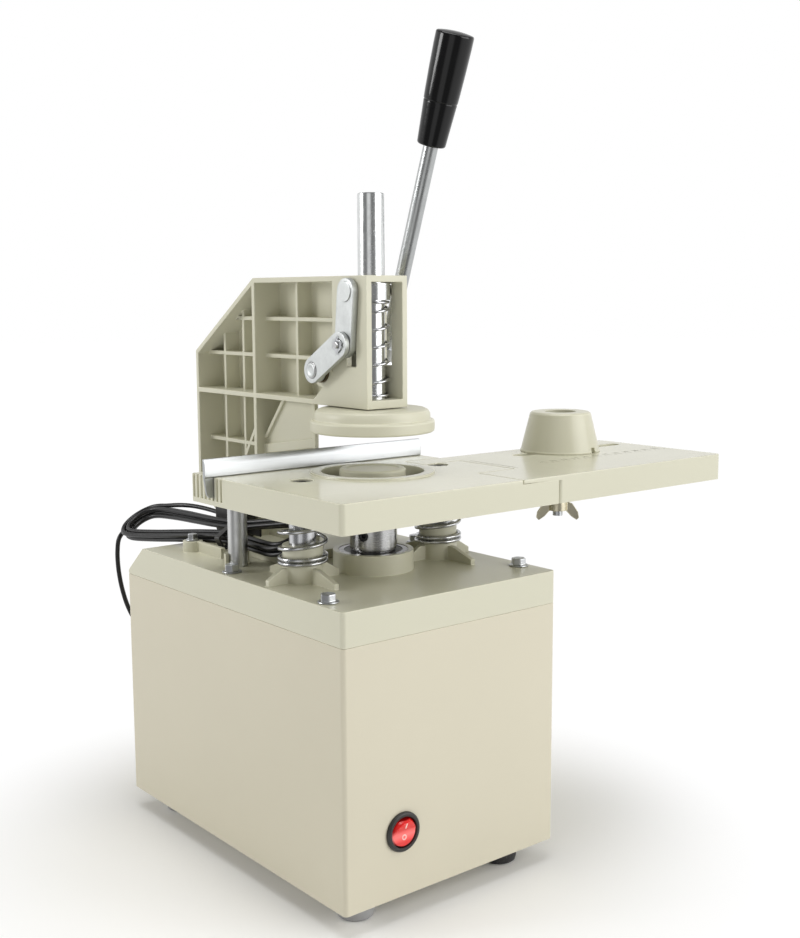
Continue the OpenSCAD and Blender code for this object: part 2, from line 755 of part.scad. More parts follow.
module bearing_seal() color(black) in_frame() translate([0, spindle_y, z_bearing_top - 1.2])
    difference() {
        cylinder(r = ball_track + race_gap - part_gap, h = 1, $fn = fine);
        translate([0, 0, -cut])
            cylinder(r = ball_track - race_gap + 0.4, h = 1 + 2*cut, $fn = fine);
    }

module cutter_holder() color(steel) in_frame() translate([0, spindle_y, z_holder]) difference() {
    rotate_extrude($fn = fine) polygon([[0, 0], [spindle_r + 2, 0], [spindle_r + 2, 1],
        [holder_r, 1], [holder_r, holder_h - 1], [holder_r - 1, holder_h], [0, holder_h]]);
    translate([0, 0, -cut]) cylinder(r = nose_r + part_gap, h = nose_h + cut, $fn = small);
    cylinder(r = stem_r + 1, h = holder_h + cut, $fn = small);
    translate([0, 0, holder_h - spigot_h])
        cylinder(r = spigot_r + part_gap, h = spigot_h + cut, $fn = small);
    rotate(207) translate([0, 0, 10]) rod_x(3 + part_gap, nose_r - cut, holder_r + cut);
}

module holder_set_screw() color(dark) in_frame()
    translate([0, spindle_y, z_holder + 10]) rotate(207) difference() {
        rod_x(3, nose_r + 0.2, holder_r - 1);
        translate([holder_r - 4, 0, 0]) rotate([0, 90, 0]) hex(3, 4);
    }

module cutter() color(dark) in_frame() translate([0, spindle_y, 0]) {
    rotate_extrude($fn = fine) polygon([[stem_r + 0.4, z_holder_top], [cutter_r, z_holder_top],
        [cutter_r, z_cutter_edge - 4], [cutter_in + 0.2, z_cutter_edge],
        [cutter_in, z_cutter_edge], [cutter_in, z_cutter_base],
        [stem_r + 0.4, z_cutter_base]]);
    translate([0, 0, z_holder_top - spigot_h + 0.2]) difference() {
        cylinder(r = spigot_r, h = spigot_h + cut, $fn = small);
        translate([0, 0, -cut]) cylinder(r = stem_r + 0.4, h = spigot_h + 3*cut, $fn = small);
    }
}

module ejector_pad() color(beige) in_frame() translate([0, spindle_y, 0]) {
    rotate_extrude($fn = fine) polygon([[0, z_ejector], [ejector_r, z_ejector],
        [ejector_r, z_ejector_top - 1], [ejector_r - 1, z_ejector_top],
        [ejector_r - 3.5, z_ejector_top], [ejector_r - 4.5, z_ejector_top - 0.8],
        [0, z_ejector_top - 0.8]]);
    translate([0, 0, z_holder_top - 1])
        cylinder(r = stem_r, h = z_ejector - z_holder_top + 2, $fn = small);
}

ejector_coil = coil(6, z_cutter_base, z_ejector, 1.2, 1, 2, 0.5);
module ejector_spring() color(zinc) in_frame() translate([0, spindle_y, 0])
    coil_tube(ejector_coil, 1.2);

// Table and what stands under it
module guide_posts() color(zinc) in_frame() for (p = guide_places)
    translate([p[0], p[1], z_top - cover_wall])
        cylinder(r = guide_r, h = cover_wall + table_gap + guide_in, $fn = fine);

module left_rounded(w, d, r) {
    translate([r, 0]) square([w - r, d]);
    translate([0, r]) square([r + cut, d - 2*r]);
    for (y = [r, d - r]) translate([r, y]) circle(r = r, $fn = small);
}

module table_blank() difference() {
    translate([-table_left, -table_over, z_table]) linear_extrude(table_t)
        left_rounded(table_left + table_right, table_back + table_over, table_corner);
    translate([-table_left + table_wall, -table_over + table_wall, z_table - cut])
        cube([table_left + table_right - 2*table_wall, table_back + table_over - 2*table_wall,
            table_t - table_skin + cut]);
}

module table() color(beige) in_frame() difference() {
    union() {
        table_blank();
        translate([0, spindle_y, z_table]) cylinder(r = hole_r + 4, h = table_t, $fn = fine);
        translate([0, spindle_y, z_table_top - cut])
            cylinder(r = rim_r, h = rim_rise + cut, $fn = fine);
        for (p = post_places) translate([p[0], p[1], z_table])
            cylinder(r = post_boss_r, h = table_t - cut, $fn = small);
        for (p = guide_places) translate([p[0], p[1], z_table])
            cylinder(r = guide_r + 3, h = table_t - cut, $fn = small);
        translate([-notch_half - table_wall, foot_front - 1.5 - table_wall, z_table])
            cube([2*notch_half + 2*table_wall, table_back - foot_front + 1.5 + table_wall,
                table_t - cut]);
        for (x = [-62, -31, 0, 31, 62]) translate([x - 1.5, -table_over + 1, z_table + 3])
            cube([3, abs(x) > 40 ? spindle_y - 8 : spindle_y - hole_r + table_over,
                table_t - 5]);
        for (x = [-42, 42]) translate([x - 1.5, spindle_y + hole_r - 8, z_table + 3])
            cube([3, table_back - spindle_y - hole_r + 7, table_t - 5]);
        for (y = lap_lugs) translate([table_right - 2, y - lug_w/2, z_table])
            cube([lug_l + 2, lug_w, lug_h]);
    }
    translate([0, spindle_y, z_table - cut])
        cylinder(r = hole_r, h = table_t + rim_rise + 2*cut, $fn = fine);
    translate([-notch_half, foot_front - 1.5, z_table - cut])
        cube([2*notch_half, table_back - foot_front + 1.5 + cut, table_t + 2*cut]);
    for (p = post_places) translate([p[0], p[1], z_table - cut]) {
        cylinder(r = post_r + part_gap, h = table_t - recess_h + cut, $fn = small);
        cylinder(r = recess_r, h = table_t + 2*cut, $fn = small);
    }
    for (p = guide_places) translate([p[0], p[1], z_table - cut])
        cylinder(r = guide_r + running_fit, h = guide_in + table_drop + 1 + cut, $fn = fine);
    for (i = [0:comb_count - 1])
        translate([-table_left - cut, comb_last - i*comb_pitch - comb_w/2, z_table + comb_foot])
            cube([2.2 + cut, comb_w, table_t]);
    for (e = lap_edges) translate([table_right - lap - lap_gap, e[0] - lap_gap,
        z_table_top - lap_t]) cube([lap + lap_gap + cut, e[1] + 2*lap_gap, lap_t + cut]);
    for (y = lap_lugs) translate([lug_x, y, z_table - cut])
        cylinder(r = stud_r + part_gap, h = lug_h + 2*cut, $fn = small);
}

module table_posts() color(steel) in_frame() for (p = post_places)
    translate([p[0], p[1], z_top - cover_wall - 7]) difference() {
        cylinder(r = post_r, h = z_table_top - recess_h - z_top + cover_wall + 7, $fn = fine);
        translate([0, 0, z_table_top - recess_h - z_top + cover_wall + 7 - 12])
            cylinder(r = 2.5 + part_gap, h = 13, $fn = small);
    }

module post_screws() color(zinc) in_frame() for (p = post_places)
    translate([p[0], p[1], z_table_top - recess_h]) {
        difference() {
            cylinder(r = recess_r - 0.8, h = recess_h - 0.8, $fn = small);
            translate([0, 0, 2.6]) hex(5, recess_h);
        }
        translate([0, 0, -10]) cylinder(r = 2.5, h = 10.5, $fn = small);
    }

table_coil = coil((sleeve_r + 0.2 + table_wire/2)/cos(22.5), z_top + seat_h, z_table, table_wire, 2, 2.5, 0.5);
module table_spring_left() color(zinc) in_frame()
    translate([post_places[0][0], post_places[0][1], 0]) coil_tube(table_coil, table_wire);
module table_spring_right() color(zinc) in_frame()
    translate([post_places[1][0], post_places[1][1], 0]) coil_tube(table_coil, table_wire);

// Extension, cone and lap
module extension() color(beige) in_frame() difference() {
    union() {
        difference() {
            translate([ext_reach, -table_over, z_table]) linear_extrude(table_t) mirror([1, 0])
                left_rounded(ext_reach - table_right - lap_gap, ext_d, ext_corner);
            translate([table_right - cut, -table_over + table_wall, z_table - cut])
                cube([ext_reach - table_right - table_wall + cut, ext_d - 2*table_wall,
                    table_t - ext_skin + cut]);
        }
        for (e = lap_edges) translate([table_right - lap, e[0], z_table_top - lap_t])
            cube([lap + 6, e[1], lap_t]);
        for (y = lap_lugs) translate([lug_x, y, z_table + lug_h])
            cylinder(r = stud_r + 4, h = table_t - lug_h - cut, $fn = small);
        for (y = [slot_y - 47, slot_y - 16, slot_y + 15])
            translate([lug_x + lug_l - 8, y - 1.2, z_table + 3])
                cube([ext_reach - lug_x - lug_l + 7, 2.4, table_t - 5]);
    }
    translate([slot_end - slot_l + slot_w/2, slot_y, z_table - cut]) {
        cylinder(d = slot_w, h = table_t + 2*cut, $fn = small);
        translate([slot_l - slot_w, 0, 0]) cylinder(d = slot_w, h = table_t + 2*cut, $fn = small);
        translate([0, -slot_w/2, 0]) cube([slot_l - slot_w, slot_w, table_t + 2*cut]);
    }
    for (y = lap_lugs) translate([lug_x, y, z_table])
        cylinder(r = stud_r + part_gap, h = table_t - 3, $fn = small);
    translate([table_right + lap_gap, -table_over, z_table - cut])
        linear_extrude(table_t - lap_t + cut) difference() {
            translate([-1, -1]) square(seam_corner + 1);
            translate([seam_corner, seam_corner]) circle(r = seam_corner, $fn = small);
        }
}

module lap_studs() color(zinc) in_frame() for (y = lap_lugs)
    translate([lug_x, y, z_table - wing_h - 3])
        cylinder(r = stud_r, h = wing_h + table_t - 0.5, $fn = small);

module wing() rotate([90, 0, 0]) translate([0, 0, -1.4]) linear_extrude(2.8)
    polygon([[wing_hub_r - 1.5, 0.7 - wing_h], [8, -10.6], [11.5, -13], [13, -11.5], [12.4, -8],
        [9, -3], [wing_hub_r - 1.5, -1.2]]);

module wing_nut(y) color(zinc) in_frame() translate([lug_x, y, z_table]) difference() {
    union() {
        translate([0, 0, -wing_h]) cylinder(r = wing_hub_r, h = wing_h, $fn = small);
        rotate(-39) wing();
        rotate(141) wing();
    }
    translate([0, 0, -wing_h - cut])
        cylinder(r = stud_r + running_fit, h = wing_h + 2*cut, $fn = small);
}
module wing_nut_front() wing_nut(lap_lugs[0]);
module wing_nut_rear() wing_nut(lap_lugs[1]);

module locating_cone() color(beige) in_frame() translate([eyelet_spacing, slot_y, z_table_top])
    difference() {
        rotate_extrude($fn = fine) polygon([[0, 0], [cone_r + 0.5, 0], [cone_r + 0.5, 1.2],
            [cone_r, 1.8], [cone_top_r + 0.6, cone_h - 1.2], [cone_top_r - 0.8, cone_h],
            [0, cone_h]]);
        translate([0, 0, 12]) cylinder(r = 10.5, h = cone_h, $fn = fine);
        translate([0, 0, -cut]) cylinder(r = cone_bolt_r + part_gap, h = cone_h, $fn = small);
        rotate(-79) translate([cone_r - 2.5, -2.2, -cut]) cube([5, 4.4, 3.6 + cut]);
    }

module cone_bolt() color(zinc) in_frame() translate([eyelet_spacing, slot_y, z_table_top + 12]) {
    hex(13, 5.5);
    translate([0, 0, -12 - ext_skin - 9])
        cylinder(r = cone_bolt_r, h = 12 + ext_skin + 10, $fn = small);
}

module cone_nut() color(zinc) in_frame()
    translate([eyelet_spacing, slot_y, z_table_top - ext_skin]) difference() {
        union() {
            translate([0, 0, -1.5]) cylinder(r = 9, h = 1.4, $fn = small);
            translate([0, 0, -7.5]) hex(13, 6.2);
        }
        translate([0, 0, -8]) cylinder(r = cone_bolt_r + part_gap, h = 9, $fn = small);
    }

// Fence
module fence() color(silver) in_frame() let (front = fence_y - fence_t/2, z = z_table_top) {
    side_plate(-frame_left, fence_right) polygon([[front + 0.5, z], [front, z + 0.6],
        [front, z + fence_h - 3.4], [front + 1.6, z + fence_h], [fence_back, z + fence_h],
        [fence_back, z]]);
    translate([0, fence_y + comb_w/2 - 0.2, z]) rotate([90, 0, 0]) linear_extrude(comb_w - 0.4)
        polygon([[-frame_left, 2], [-frame_left, -1], [-frame_left + 1.4, 2 - tab_drop],
            [-frame_left + 3.2, -tab_drop], [-table_left + 1.8, -tab_drop], [-table_left + 1.8, 2]]);
}

// Arm
module border(points, t, from, to) side_plate(from, to)
    for (i = [0:len(points) - 2]) strip(points[i], points[i + 1], 2*t);

module arm_shape() {
    h = arm_w/2;
    rear = arm_back;
    side_plate(web_left, web_left + web_t) polygon(web_outline);
    side_plate(chin_left + 2, chin_right) polygon(chin_outline);
    border([for (i = [0:5]) arm_outline[i]], arm_wall, -h, h);
    border([for (i = [6:8]) arm_outline[i]], arm_wall, chin_left, chin_right);
    side_plate(-h, h) {
        translate([head_front, z_head]) square([head_d, head_h]);
        translate([head_front, z_head]) square([rear - head_front, arm_wall]);
        translate([column_y - 1.7, z_top]) square([3.4, z_head_top - z_top]);
        translate([shaft_y, shaft_z]) circle(r = bush_r + boss_wall, $fn = small);
        polygon([[head_back - 1, z_head + 1], [head_back - 1, z_head + 22],
            [head_back + 2, z_head + 18], [shaft_y + 9, z_head + 3.4], [shaft_y + 9, z_head + 1]]);
    }
    side_plate(rib_left, web_left + 1) {
        strip([foot_front + 22.5, z_head + 1], [foot_front + 22.5, z_head_top - 1], arm_rib_t);
        strip([column_y + 27, z_top + flange_t], [column_y + 27, z_head_top - 4], arm_rib_t);
        strip([column_y + 51, z_top + flange_t], [column_y + 51, z_head_top - 20], arm_rib_t);
        strip([head_back - 1, z_head + 51.5], [column_y + 36, z_head + 51.5], arm_rib_t);
        strip([head_back - 1, z_head + 27.5], [rear - 1, z_head + 27.5], arm_rib_t);
        strip([column_y, z_head - 32.5], [rear - 1, z_head - 32.5], arm_rib_t);
        strip([column_y, z_head], [column_y + 27, z_head - 41], arm_rib_t);
    }
    side_plate(chin_left, web_left + 1)
        strip([column_y - 25, z_head + 1], [column_y - 2, z_head - 26.5], arm_rib_t);
    side_plate(chin_left, chin_right) {
        strip([foot_front, z_head - 25.2], [column_y, z_head - 34.2], 6);
        strip([foot_front, z_table], [column_y, z_table], arm_wall);
    }
    side_plate(web_left + web_t - 1, h - 4) {
        strip([column_y, z_top + 4], [column_y, z_head_top - 1], arm_rib_t);
        strip([column_y, z_head + 27.5], [rear - 1, z_head + 27.5], arm_rib_t);
        strip([foot_front + 22.5, z_head + 1], [foot_front + 22.5, z_head_top - 1], arm_rib_t);
    }
}

module arm() color(beige) in_frame() difference() {
    union() {
        intersection() {
            arm_shape();
            side_plate(-arm_w, arm_w) polygon(arm_outline);
        }
        translate([-flange_w/2, flange_front, z_top])
            cube([flange_w, foot_back - flange_front, flange_t]);
    }
    translate([-cavity_half, head_front - cut, z_head + sill])
        cube([2*cavity_half, cavity_back - head_front + cut, head_h - sill - window_wall]);
    translate([0, spindle_y, z_head - cut])
        cylinder(r = rod_r + running_fit, h = head_h + 2*cut, $fn = fine);
    translate([-arm_w, spindle_y - pin_r - 0.4, slot_low])
        cube([2*arm_w, 2*pin_r + 0.8, pin_z + pin_r + 0.5 - slot_low]);
    translate([0, shaft_y, shaft_z]) rod_x(bush_r + part_gap, -arm_w, arm_w);
    translate([0, 0, z_top + flange_t + 2]) linear_extrude(z_head - z_top - flange_t - 3.2)
        polygon([[chin_right - chin_slant, foot_front - cut], [chin_right + 1, foot_front - cut],
            [chin_right + 1, foot_front + chin_slant + 1]]);
    for (p = arm_bolt_places) translate([p[0], p[1], z_top - cut])
        cylinder(r = arm_bolt_r + part_gap, h = flange_t - 1 + cut, $fn = small);
}

module arm_bolts() color(zinc) in_frame() for (p = arm_bolt_places)
    translate([p[0], p[1], z_top - cover_wall]) {
        cylinder(r = arm_bolt_r, h = cover_wall + flange_t - 1.5, $fn = small);
        translate([0, 0, -4]) hex(10, 4);
    }

module shaft_bushes() color([0.72, 0.58, 0.30]) in_frame() translate([0, shaft_y, shaft_z])
    for (s = [-1, 1]) difference() {
        union() {
            rod_x(bush_r, s < 0 ? -arm_w/2 : arm_w/2 - 11, s < 0 ? -arm_w/2 + 11 : arm_w/2);
            rod_x(bush_r + 0.2, s < 0 ? -arm_w/2 - 1.5 : arm_w/2, s < 0 ? -arm_w/2 : arm_w/2 + 1.5);
        }
        rod_x(shaft_r + running_fit, -arm_w, arm_w);
    }

// Lever and linkage
module lever_shaft() color(steel) in_frame() translate([0, shaft_y, shaft_z])
    rod_x(shaft_r, -crank_out - 0.4, hub_out - 4);

module crank() color(zinc) in_frame() difference() {
    union() {
        side_plate(-crank_out, -crank_in) link_plan([shaft_y, shaft_z], [mid_y, mid_z], link_w);
        translate([0, shaft_y, shaft_z]) rod_x(link_w/2 - 0.6, -crank_in - cut, -arm_w/2 - 2);
    }
    translate([0, shaft_y, shaft_z]) rod_x(shaft_r + part_gap, -crank_out - 3, 0);
    translate([0, mid_y, mid_z]) rod_x(mid_pin_r + part_gap, -crank_out - 1, 0);
}

module crank_pin() color(steel) in_frame() translate([0, mid_y, mid_z]) {
    rod_x(mid_pin_r, -crank_out, -link_in);
    rod_x(pin_tip_r, -crank_out - 2.2, -crank_out + cut);
}

module star_washer() color(zinc) in_frame() translate([0, mid_y, mid_z]) difference() {
    union() {
        rod_x(pin_tip_r + 1.2, -crank_out - 0.8, -crank_out);
        for (a = [0:60:300]) rotate([a, 0, 0]) translate([-crank_out - 0.8, -0.9, 0])
            cube([0.8, 1.8, pin_tip_r + 2.3]);
    }
    rod_x(pin_tip_r + part_gap, -crank_out - 2, 0);
}

module upper_link() color(zinc) in_frame() {
    difference() {
        side_plate(-link_out, -link_in) link_plan([mid_y, mid_z], [spindle_y, pin_z], link_w);
        translate([0, mid_y, mid_z]) rod_x(mid_pin_r + running_fit, -arm_w, 0);
    }
    translate([0, spindle_y, pin_z]) rod_x(pin_r + 2, -link_out - 0.7, -link_out + 0.5);
}

module plunger_rod() color(steel) in_frame() translate([0, spindle_y, 0]) difference() {
    union() {
        translate([0, 0, rod_foot])
            cylinder(r = rod_r, h = z_head_top + rod_over - 1 - rod_foot, $fn = fine);
        translate([0, 0, z_head_top + rod_over - 1])
            cylinder(r1 = rod_r, r2 = rod_r - 1, h = 1, $fn = fine);
    }
    translate([0, 0, rod_foot - cut]) cylinder(r = 2.5 + part_gap, h = 12 + cut, $fn = small);
    translate([0, 0, pin_z]) rod_x(pin_r + part_gap, -rod_r - cut, rod_r + cut);
}

module cross_pin() color(steel) in_frame() translate([0, spindle_y, pin_z])
    rod_x(pin_r, -arm_w/2 - pass_gap + 0.3, arm_w/2);

module spring_collar() color(zinc) in_frame() translate([0, spindle_y, pin_z]) difference() {
    translate([0, 0, -collar_half])
        cylinder(r = rod_r + 1.6 + return_wire, h = 2*collar_half, $fn = fine);
    translate([0, 0, -collar_half - cut])
        cylinder(r = rod_r + part_gap, h = 2*collar_half + 2*cut, $fn = fine);
    rod_x(pin_r + part_gap, -arm_w, arm_w);
}

return_turns = (pin_z - collar_half - z_head - sill - 2*return_wire)/return_pitch;
return_coil = coil(rod_r + 1.2 + return_wire/2, z_head + sill, pin_z - collar_half,
    return_wire, 1, round(return_turns*8)/8, 1);
module return_spring() color(zinc) in_frame() translate([0, spindle_y, 0])
    coil_tube(return_coil, return_wire);

module press_disc() color(beige) in_frame() translate([0, spindle_y, z_disc]) difference() {
    rotate_extrude($fn = fine) let (a = disc_flange_h, b = disc_flange_h + disc_step_h)
        polygon([[0, 0], [disc_r - 1, 0], [disc_r, 1], [disc_r, a - 1], [disc_r - 1, a],
            [disc_r - 2.5, a], [disc_r - 2.7, b - 3], [disc_r - 3.7, b - 1], [disc_r - 6, b],
            [0, b]]);
    translate([0, 0, -cut]) cylinder(r = pad_r + part_gap, h = pad_t + cut, $fn = fine);
    translate([0, 0, rod_foot - z_disc])
        cylinder(r = rod_r + part_gap, h = disc_flange_h + disc_step_h, $fn = fine);
    cylinder(r = 2.5 + part_gap, h = rod_foot - z_disc + cut, $fn = small);
}

module cutting_pad() color(white) in_frame() translate([0, spindle_y, z_disc]) difference() {
    cylinder(r = pad_r, h = pad_t, $fn = fine);
    translate([0, 0, -cut]) cylinder(r = 5.5, h = 2.6 + cut, $fn = small);
    cylinder(r = 2.5 + part_gap, h = pad_t + cut, $fn = small);
}

module pad_screw() color(zinc) in_frame() translate([0, spindle_y, z_disc]) {
    difference() {
        translate([0, 0, 0.2]) cylinder(r = 5, h = 2.4, $fn = small);
        hex(3, 1.6);
    }
    translate([0, 0, 2.5]) cylinder(r = 2.5, h = rod_foot - z_disc + 7, $fn = small);
}

module on_lever() translate([lever_x, shaft_y, shaft_z]) rotate([lever_lean, 0, 0]) children();

module lever_hub() color(zinc) in_frame() difference() {
    union() {
        translate([0, shaft_y, shaft_z]) rod_x(hub_r, hub_in, hub_out);
        on_lever() cylinder(r = lever_r + 2.5, h = hub_r + 5, $fn = small);
    }
    translate([0, shaft_y, shaft_z]) rod_x(shaft_r + part_gap, hub_in - cut, hub_out - 4 + part_gap);
    on_lever() translate([0, 0, shaft_r + 1])
        cylinder(r = lever_r + part_gap, h = hub_r + 5, $fn = small);
}

module lever_rod() color(steel) in_frame() on_lever() translate([0, 0, shaft_r + 1.2])
    cylinder(r = lever_r, h = lever_l - shaft_r - 1.2 - 20, $fn = fine);

module lever_grip() color(black) in_frame() on_lever() translate([0, 0, lever_l - grip_l])
    let (s = 0.39*grip_l) difference() {
        rotate_extrude($fn = fine) polygon([[0, 0], [grip_r - 3.4, 0], [grip_r - 2.6, 1],
            [grip_r - 1.2, s - 1.5], [grip_r - 1.6, s - 0.4], [grip_r - 1.6, s + 0.4],
            [grip_r - 0.9, s + 1.5], [grip_r, grip_l - 8], [grip_r - 0.4, grip_l - 4],
            [grip_r - 2, grip_l - 1.6], [grip_r - 5, grip_l - 0.4], [0, grip_l]]);
        translate([0, 0, -cut])
            cylinder(r = lever_r + part_gap, h = grip_l - 20 + cut + part_gap, $fn = small);
    }

// Cord: u across the hank, s along it towards the back, n out of its plane
function hank_r(a) = fold_r + hank_pitch*max(hold_from - a, 0) + hank_pitch*max(a - hold_to, 0);
function waist(s) = let (w = cos(90*(s - waist_s)/(s < waist_s ? hank_half + waist_s
    : hank_half - waist_s))) w*w;
function drawn(a, s) = hank_r(a) - waist_draw*waist(s);
function climb(a) = hank_pitch*(min(max((a - 2.125)/0.25, 0), 1) - 0.5);
function loop_us(k, a) = k < 3 ? [hank_r(a)*sin(30*k), hank_half + hank_r(a)*cos(30*k)]
    : k < 9 ? let (s = hank_half*(1 - (k - 3)/3)) [drawn(a, s), s]
    : k < 15 ? [hank_r(a)*cos(30*(k - 9)), -hank_half - hank_r(a)*sin(30*(k - 9))]
    : k < 21 ? let (s = hank_half*((k - 15)/3 - 1)) [-drawn(a, s), s]
    : [-hank_r(a)*sin(30*(24 - k)), hank_half + hank_r(a)*cos(30*(24 - k))];
function place(u, s, n) = hank_mid + u*hank_u + s*hank_s + n*hank_n;
function soft(f) = f*f*(3 - 2*f);
tail_start = let (a = tail_from/loop_rings, p = loop_us(tail_from % loop_rings, a))
    place(p[0], p[1], climb(a));
tail_end = plug_at + [0, cord_d, 0];
function tail(f) = tail_start*(1 - soft(f)) + tail_end*soft(f)
    - tail_pull*hank_s*f*(1 - f)*(1 - f) + tail_pull*[0, 1, 0]*f*f*(1 - f)
    + 16*tail_lift*hank_n*f*f*(1 - f)*(1 - f);
hank_points = concat(
    [place(-cord_d, hank_half + hank_r(0), climb(0)), place(-cord_d/2, hank_half + hank_r(0), climb(0))],
    [for (i = [0:tail_from]) let (a = i/loop_rings, p = loop_us(i % loop_rings, a))
        place(p[0], p[1], climb(a))],
    [for (i = [1:tail_rings]) let (f = i/tail_rings) tail(f)],
    [plug_at]);
lead_end = place(-cord_d, hank_half + hank_r(0), climb(0));
lead_points = [gland_at + [0, gland_out, 0], gland_at + [0, gland_out + 4, 0],
    gland_at + [-0.6, 31.5, 2], gland_at + [-1.6, 37, 7], gland_at + [-3, 41, 14],
    gland_at + [-4.5, 43.5, 23], gland_at + [-5.6, 45, 32], gland_at + [-6.2, 46, 42],
    gland_at + [-5.8, 46.8, 52], lead_end - 9*hank_u - [0.8, 0, 3.2], lead_end - 5*hank_u - [0, 0, 0.6],
    lead_end - 2*hank_u, lead_end];

echo(str("table spring least gap ", least_gap(table_coil, table_wire, 5)));
echo(str("return spring least gap ", least_gap(return_coil, return_wire, 5)));
echo(str("ejector spring least gap ", least_gap(ejector_coil, 1.2, 5)));
echo(str("hank least gap ", least_gap(hank_points, cord_d, 4)));

module cord_gland() color(black) in_frame() translate(gland_at) difference() {
    union() {
        rod_y(gland_r, -cabinet_wall - 5, 1);
        rod_y(gland_r + 2, 0, 3);
        translate([0, 2, 0]) rotate([-90, 0, 0])
            cylinder(r1 = gland_r, r2 = cord_r + 0.9, h = gland_out - 2, $fn = small);
    }
    rod_y(cord_r + part_gap, -cabinet_wall - 5 - cut, gland_out - 2);
}

module cord_lead() color(black) in_frame() tube(lead_points, [1, 0, 0], cord_r, 8);

module cord_hank() color(black) in_frame() tube(hank_points, hank_n, cord_r, 6);

module in_hank() multmatrix([
    [hank_u[0], hank_s[0], hank_n[0], hank_mid[0]],
    [hank_u[1], hank_s[1], hank_n[1], hank_mid[1]],
    [hank_u[2], hank_s[2], hank_n[2], hank_mid[2]], [0, 0, 0, 1]]) children();

module cord_plug() color(black) in_frame() translate(plug_at) rotate([90, 90, 0]) {
    linear_extrude(plug_l) rounded_plan(plug_w, plug_t, 4);
    for (x = [-6.35, 6.35]) translate([x - 3.1, -0.75, plug_l - cut]) cube([6.2, 1.5, 16 + cut]);
}

tie_right = drawn(0.25, waist_s) + cord_r + tie_gap;
tie_left = drawn(0.75, waist_s) + cord_r + tie_gap + 2.2;
module hank_tie() color(black) in_frame() in_hank()
    translate([(tie_right - tie_left)/2, waist_s + tie_l/2, 0]) rotate([90, 0, 0])
        linear_extrude(tie_l) difference() {
            rounded_plan(tie_left + tie_right + 2*tie_t, 2*tie_n + 2*tie_t, 2);
            rounded_plan(tie_left + tie_right, 2*tie_n, 1);
        }

cabinet();
bottom_plate();
top_cover();
cover_bolts();
feet();
foot_studs();
switch_bezel();
switch_rocker();
motor_can();
motor_flange();
motor_studs();
motor_fan();
capacitor();
spindle();
bearing_outer_ring();
bearing_inner_ring();
bearing_balls();
bearing_seal();
cutter_holder();
holder_set_screw();
cutter();
ejector_pad();
ejector_spring();
guide_posts();
table();
table_posts();
post_screws();
table_spring_left();
table_spring_right();
extension();
lap_studs();
wing_nut_front();
wing_nut_rear();
fence();
locating_cone();
cone_bolt();
cone_nut();
arm();
arm_bolts();
shaft_bushes();
lever_shaft();
crank();
crank_pin();
star_washer();
upper_link();
plunger_rod();
cross_pin();
return_spring();
spring_collar();
press_disc();
cutting_pad();
pad_screw();
lever_hub();
lever_rod();
lever_grip();
cord_gland();
cord_lead();
cord_hank();
cord_plug();
hank_tie();
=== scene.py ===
# %% [markdown]
# # Curtain hole punch
# A bench machine for curtain eyelets. A motor in the cabinet turns a ring cutter that stands in the
# opening of a sprung table, and a hand lever brings a press disc down on the cloth. The solids
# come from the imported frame, in metres. This script gives them worked edges, springs, a cord and
# finishes.

# %% Load the frame
import json
import math

import bpy
from mathutils import Matrix, Quaternion, Vector

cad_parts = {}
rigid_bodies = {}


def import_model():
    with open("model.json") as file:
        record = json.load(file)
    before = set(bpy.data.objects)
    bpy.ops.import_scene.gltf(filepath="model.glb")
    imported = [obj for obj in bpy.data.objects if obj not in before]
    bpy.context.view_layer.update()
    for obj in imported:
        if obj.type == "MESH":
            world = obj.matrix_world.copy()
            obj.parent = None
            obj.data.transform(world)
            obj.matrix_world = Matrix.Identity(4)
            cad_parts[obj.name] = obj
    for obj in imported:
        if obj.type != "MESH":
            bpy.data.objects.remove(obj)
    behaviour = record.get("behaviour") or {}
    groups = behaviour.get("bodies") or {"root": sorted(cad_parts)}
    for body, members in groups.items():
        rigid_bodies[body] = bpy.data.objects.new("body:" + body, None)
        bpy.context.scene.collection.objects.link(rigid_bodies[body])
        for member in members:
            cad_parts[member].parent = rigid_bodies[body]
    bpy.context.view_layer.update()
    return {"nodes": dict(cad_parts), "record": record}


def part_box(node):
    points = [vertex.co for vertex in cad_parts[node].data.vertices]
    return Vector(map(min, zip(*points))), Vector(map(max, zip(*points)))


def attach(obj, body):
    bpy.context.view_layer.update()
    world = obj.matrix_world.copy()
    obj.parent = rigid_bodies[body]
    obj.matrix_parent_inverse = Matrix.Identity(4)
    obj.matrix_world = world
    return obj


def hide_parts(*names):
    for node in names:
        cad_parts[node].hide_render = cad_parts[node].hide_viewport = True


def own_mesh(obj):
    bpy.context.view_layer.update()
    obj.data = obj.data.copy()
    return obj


bpy.ops.object.select_all(action="SELECT")
bpy.ops.object.delete()
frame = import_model()
nodes = frame["nodes"]
bodies = frame["record"]["behaviour"]["bodies"]
body_of = {node: body for body, members in bodies.items() for node in members}
bpy.ops.object.select_all(action="DESELECT")

# %% [markdown]
# The frame's origin is the middle of the plan. The machine is easier to think of from its spindle,
# its cabinet front and the floor, so one helper turns such millimetres into metres of the frame.

# %% Places on the machine
ORIGIN_X, ORIGIN_Y = 69.5, 125.0
SPINDLE_Y = 76.0


def spot(x, y, z):
    """A point in metres, from millimetres off the spindle, the cabinet front and the floor."""
    return Vector(((x - ORIGIN_X) / 1000, (y - ORIGIN_Y) / 1000, z / 1000))


print("spindle axis at", spot(0, SPINDLE_Y, 0))

# %% [markdown]
# ## Camera
# The photograph was taken from the front left, a little above the table. The camera stands where
# the straight edges of the cabinet and the table meet their places in the picture.

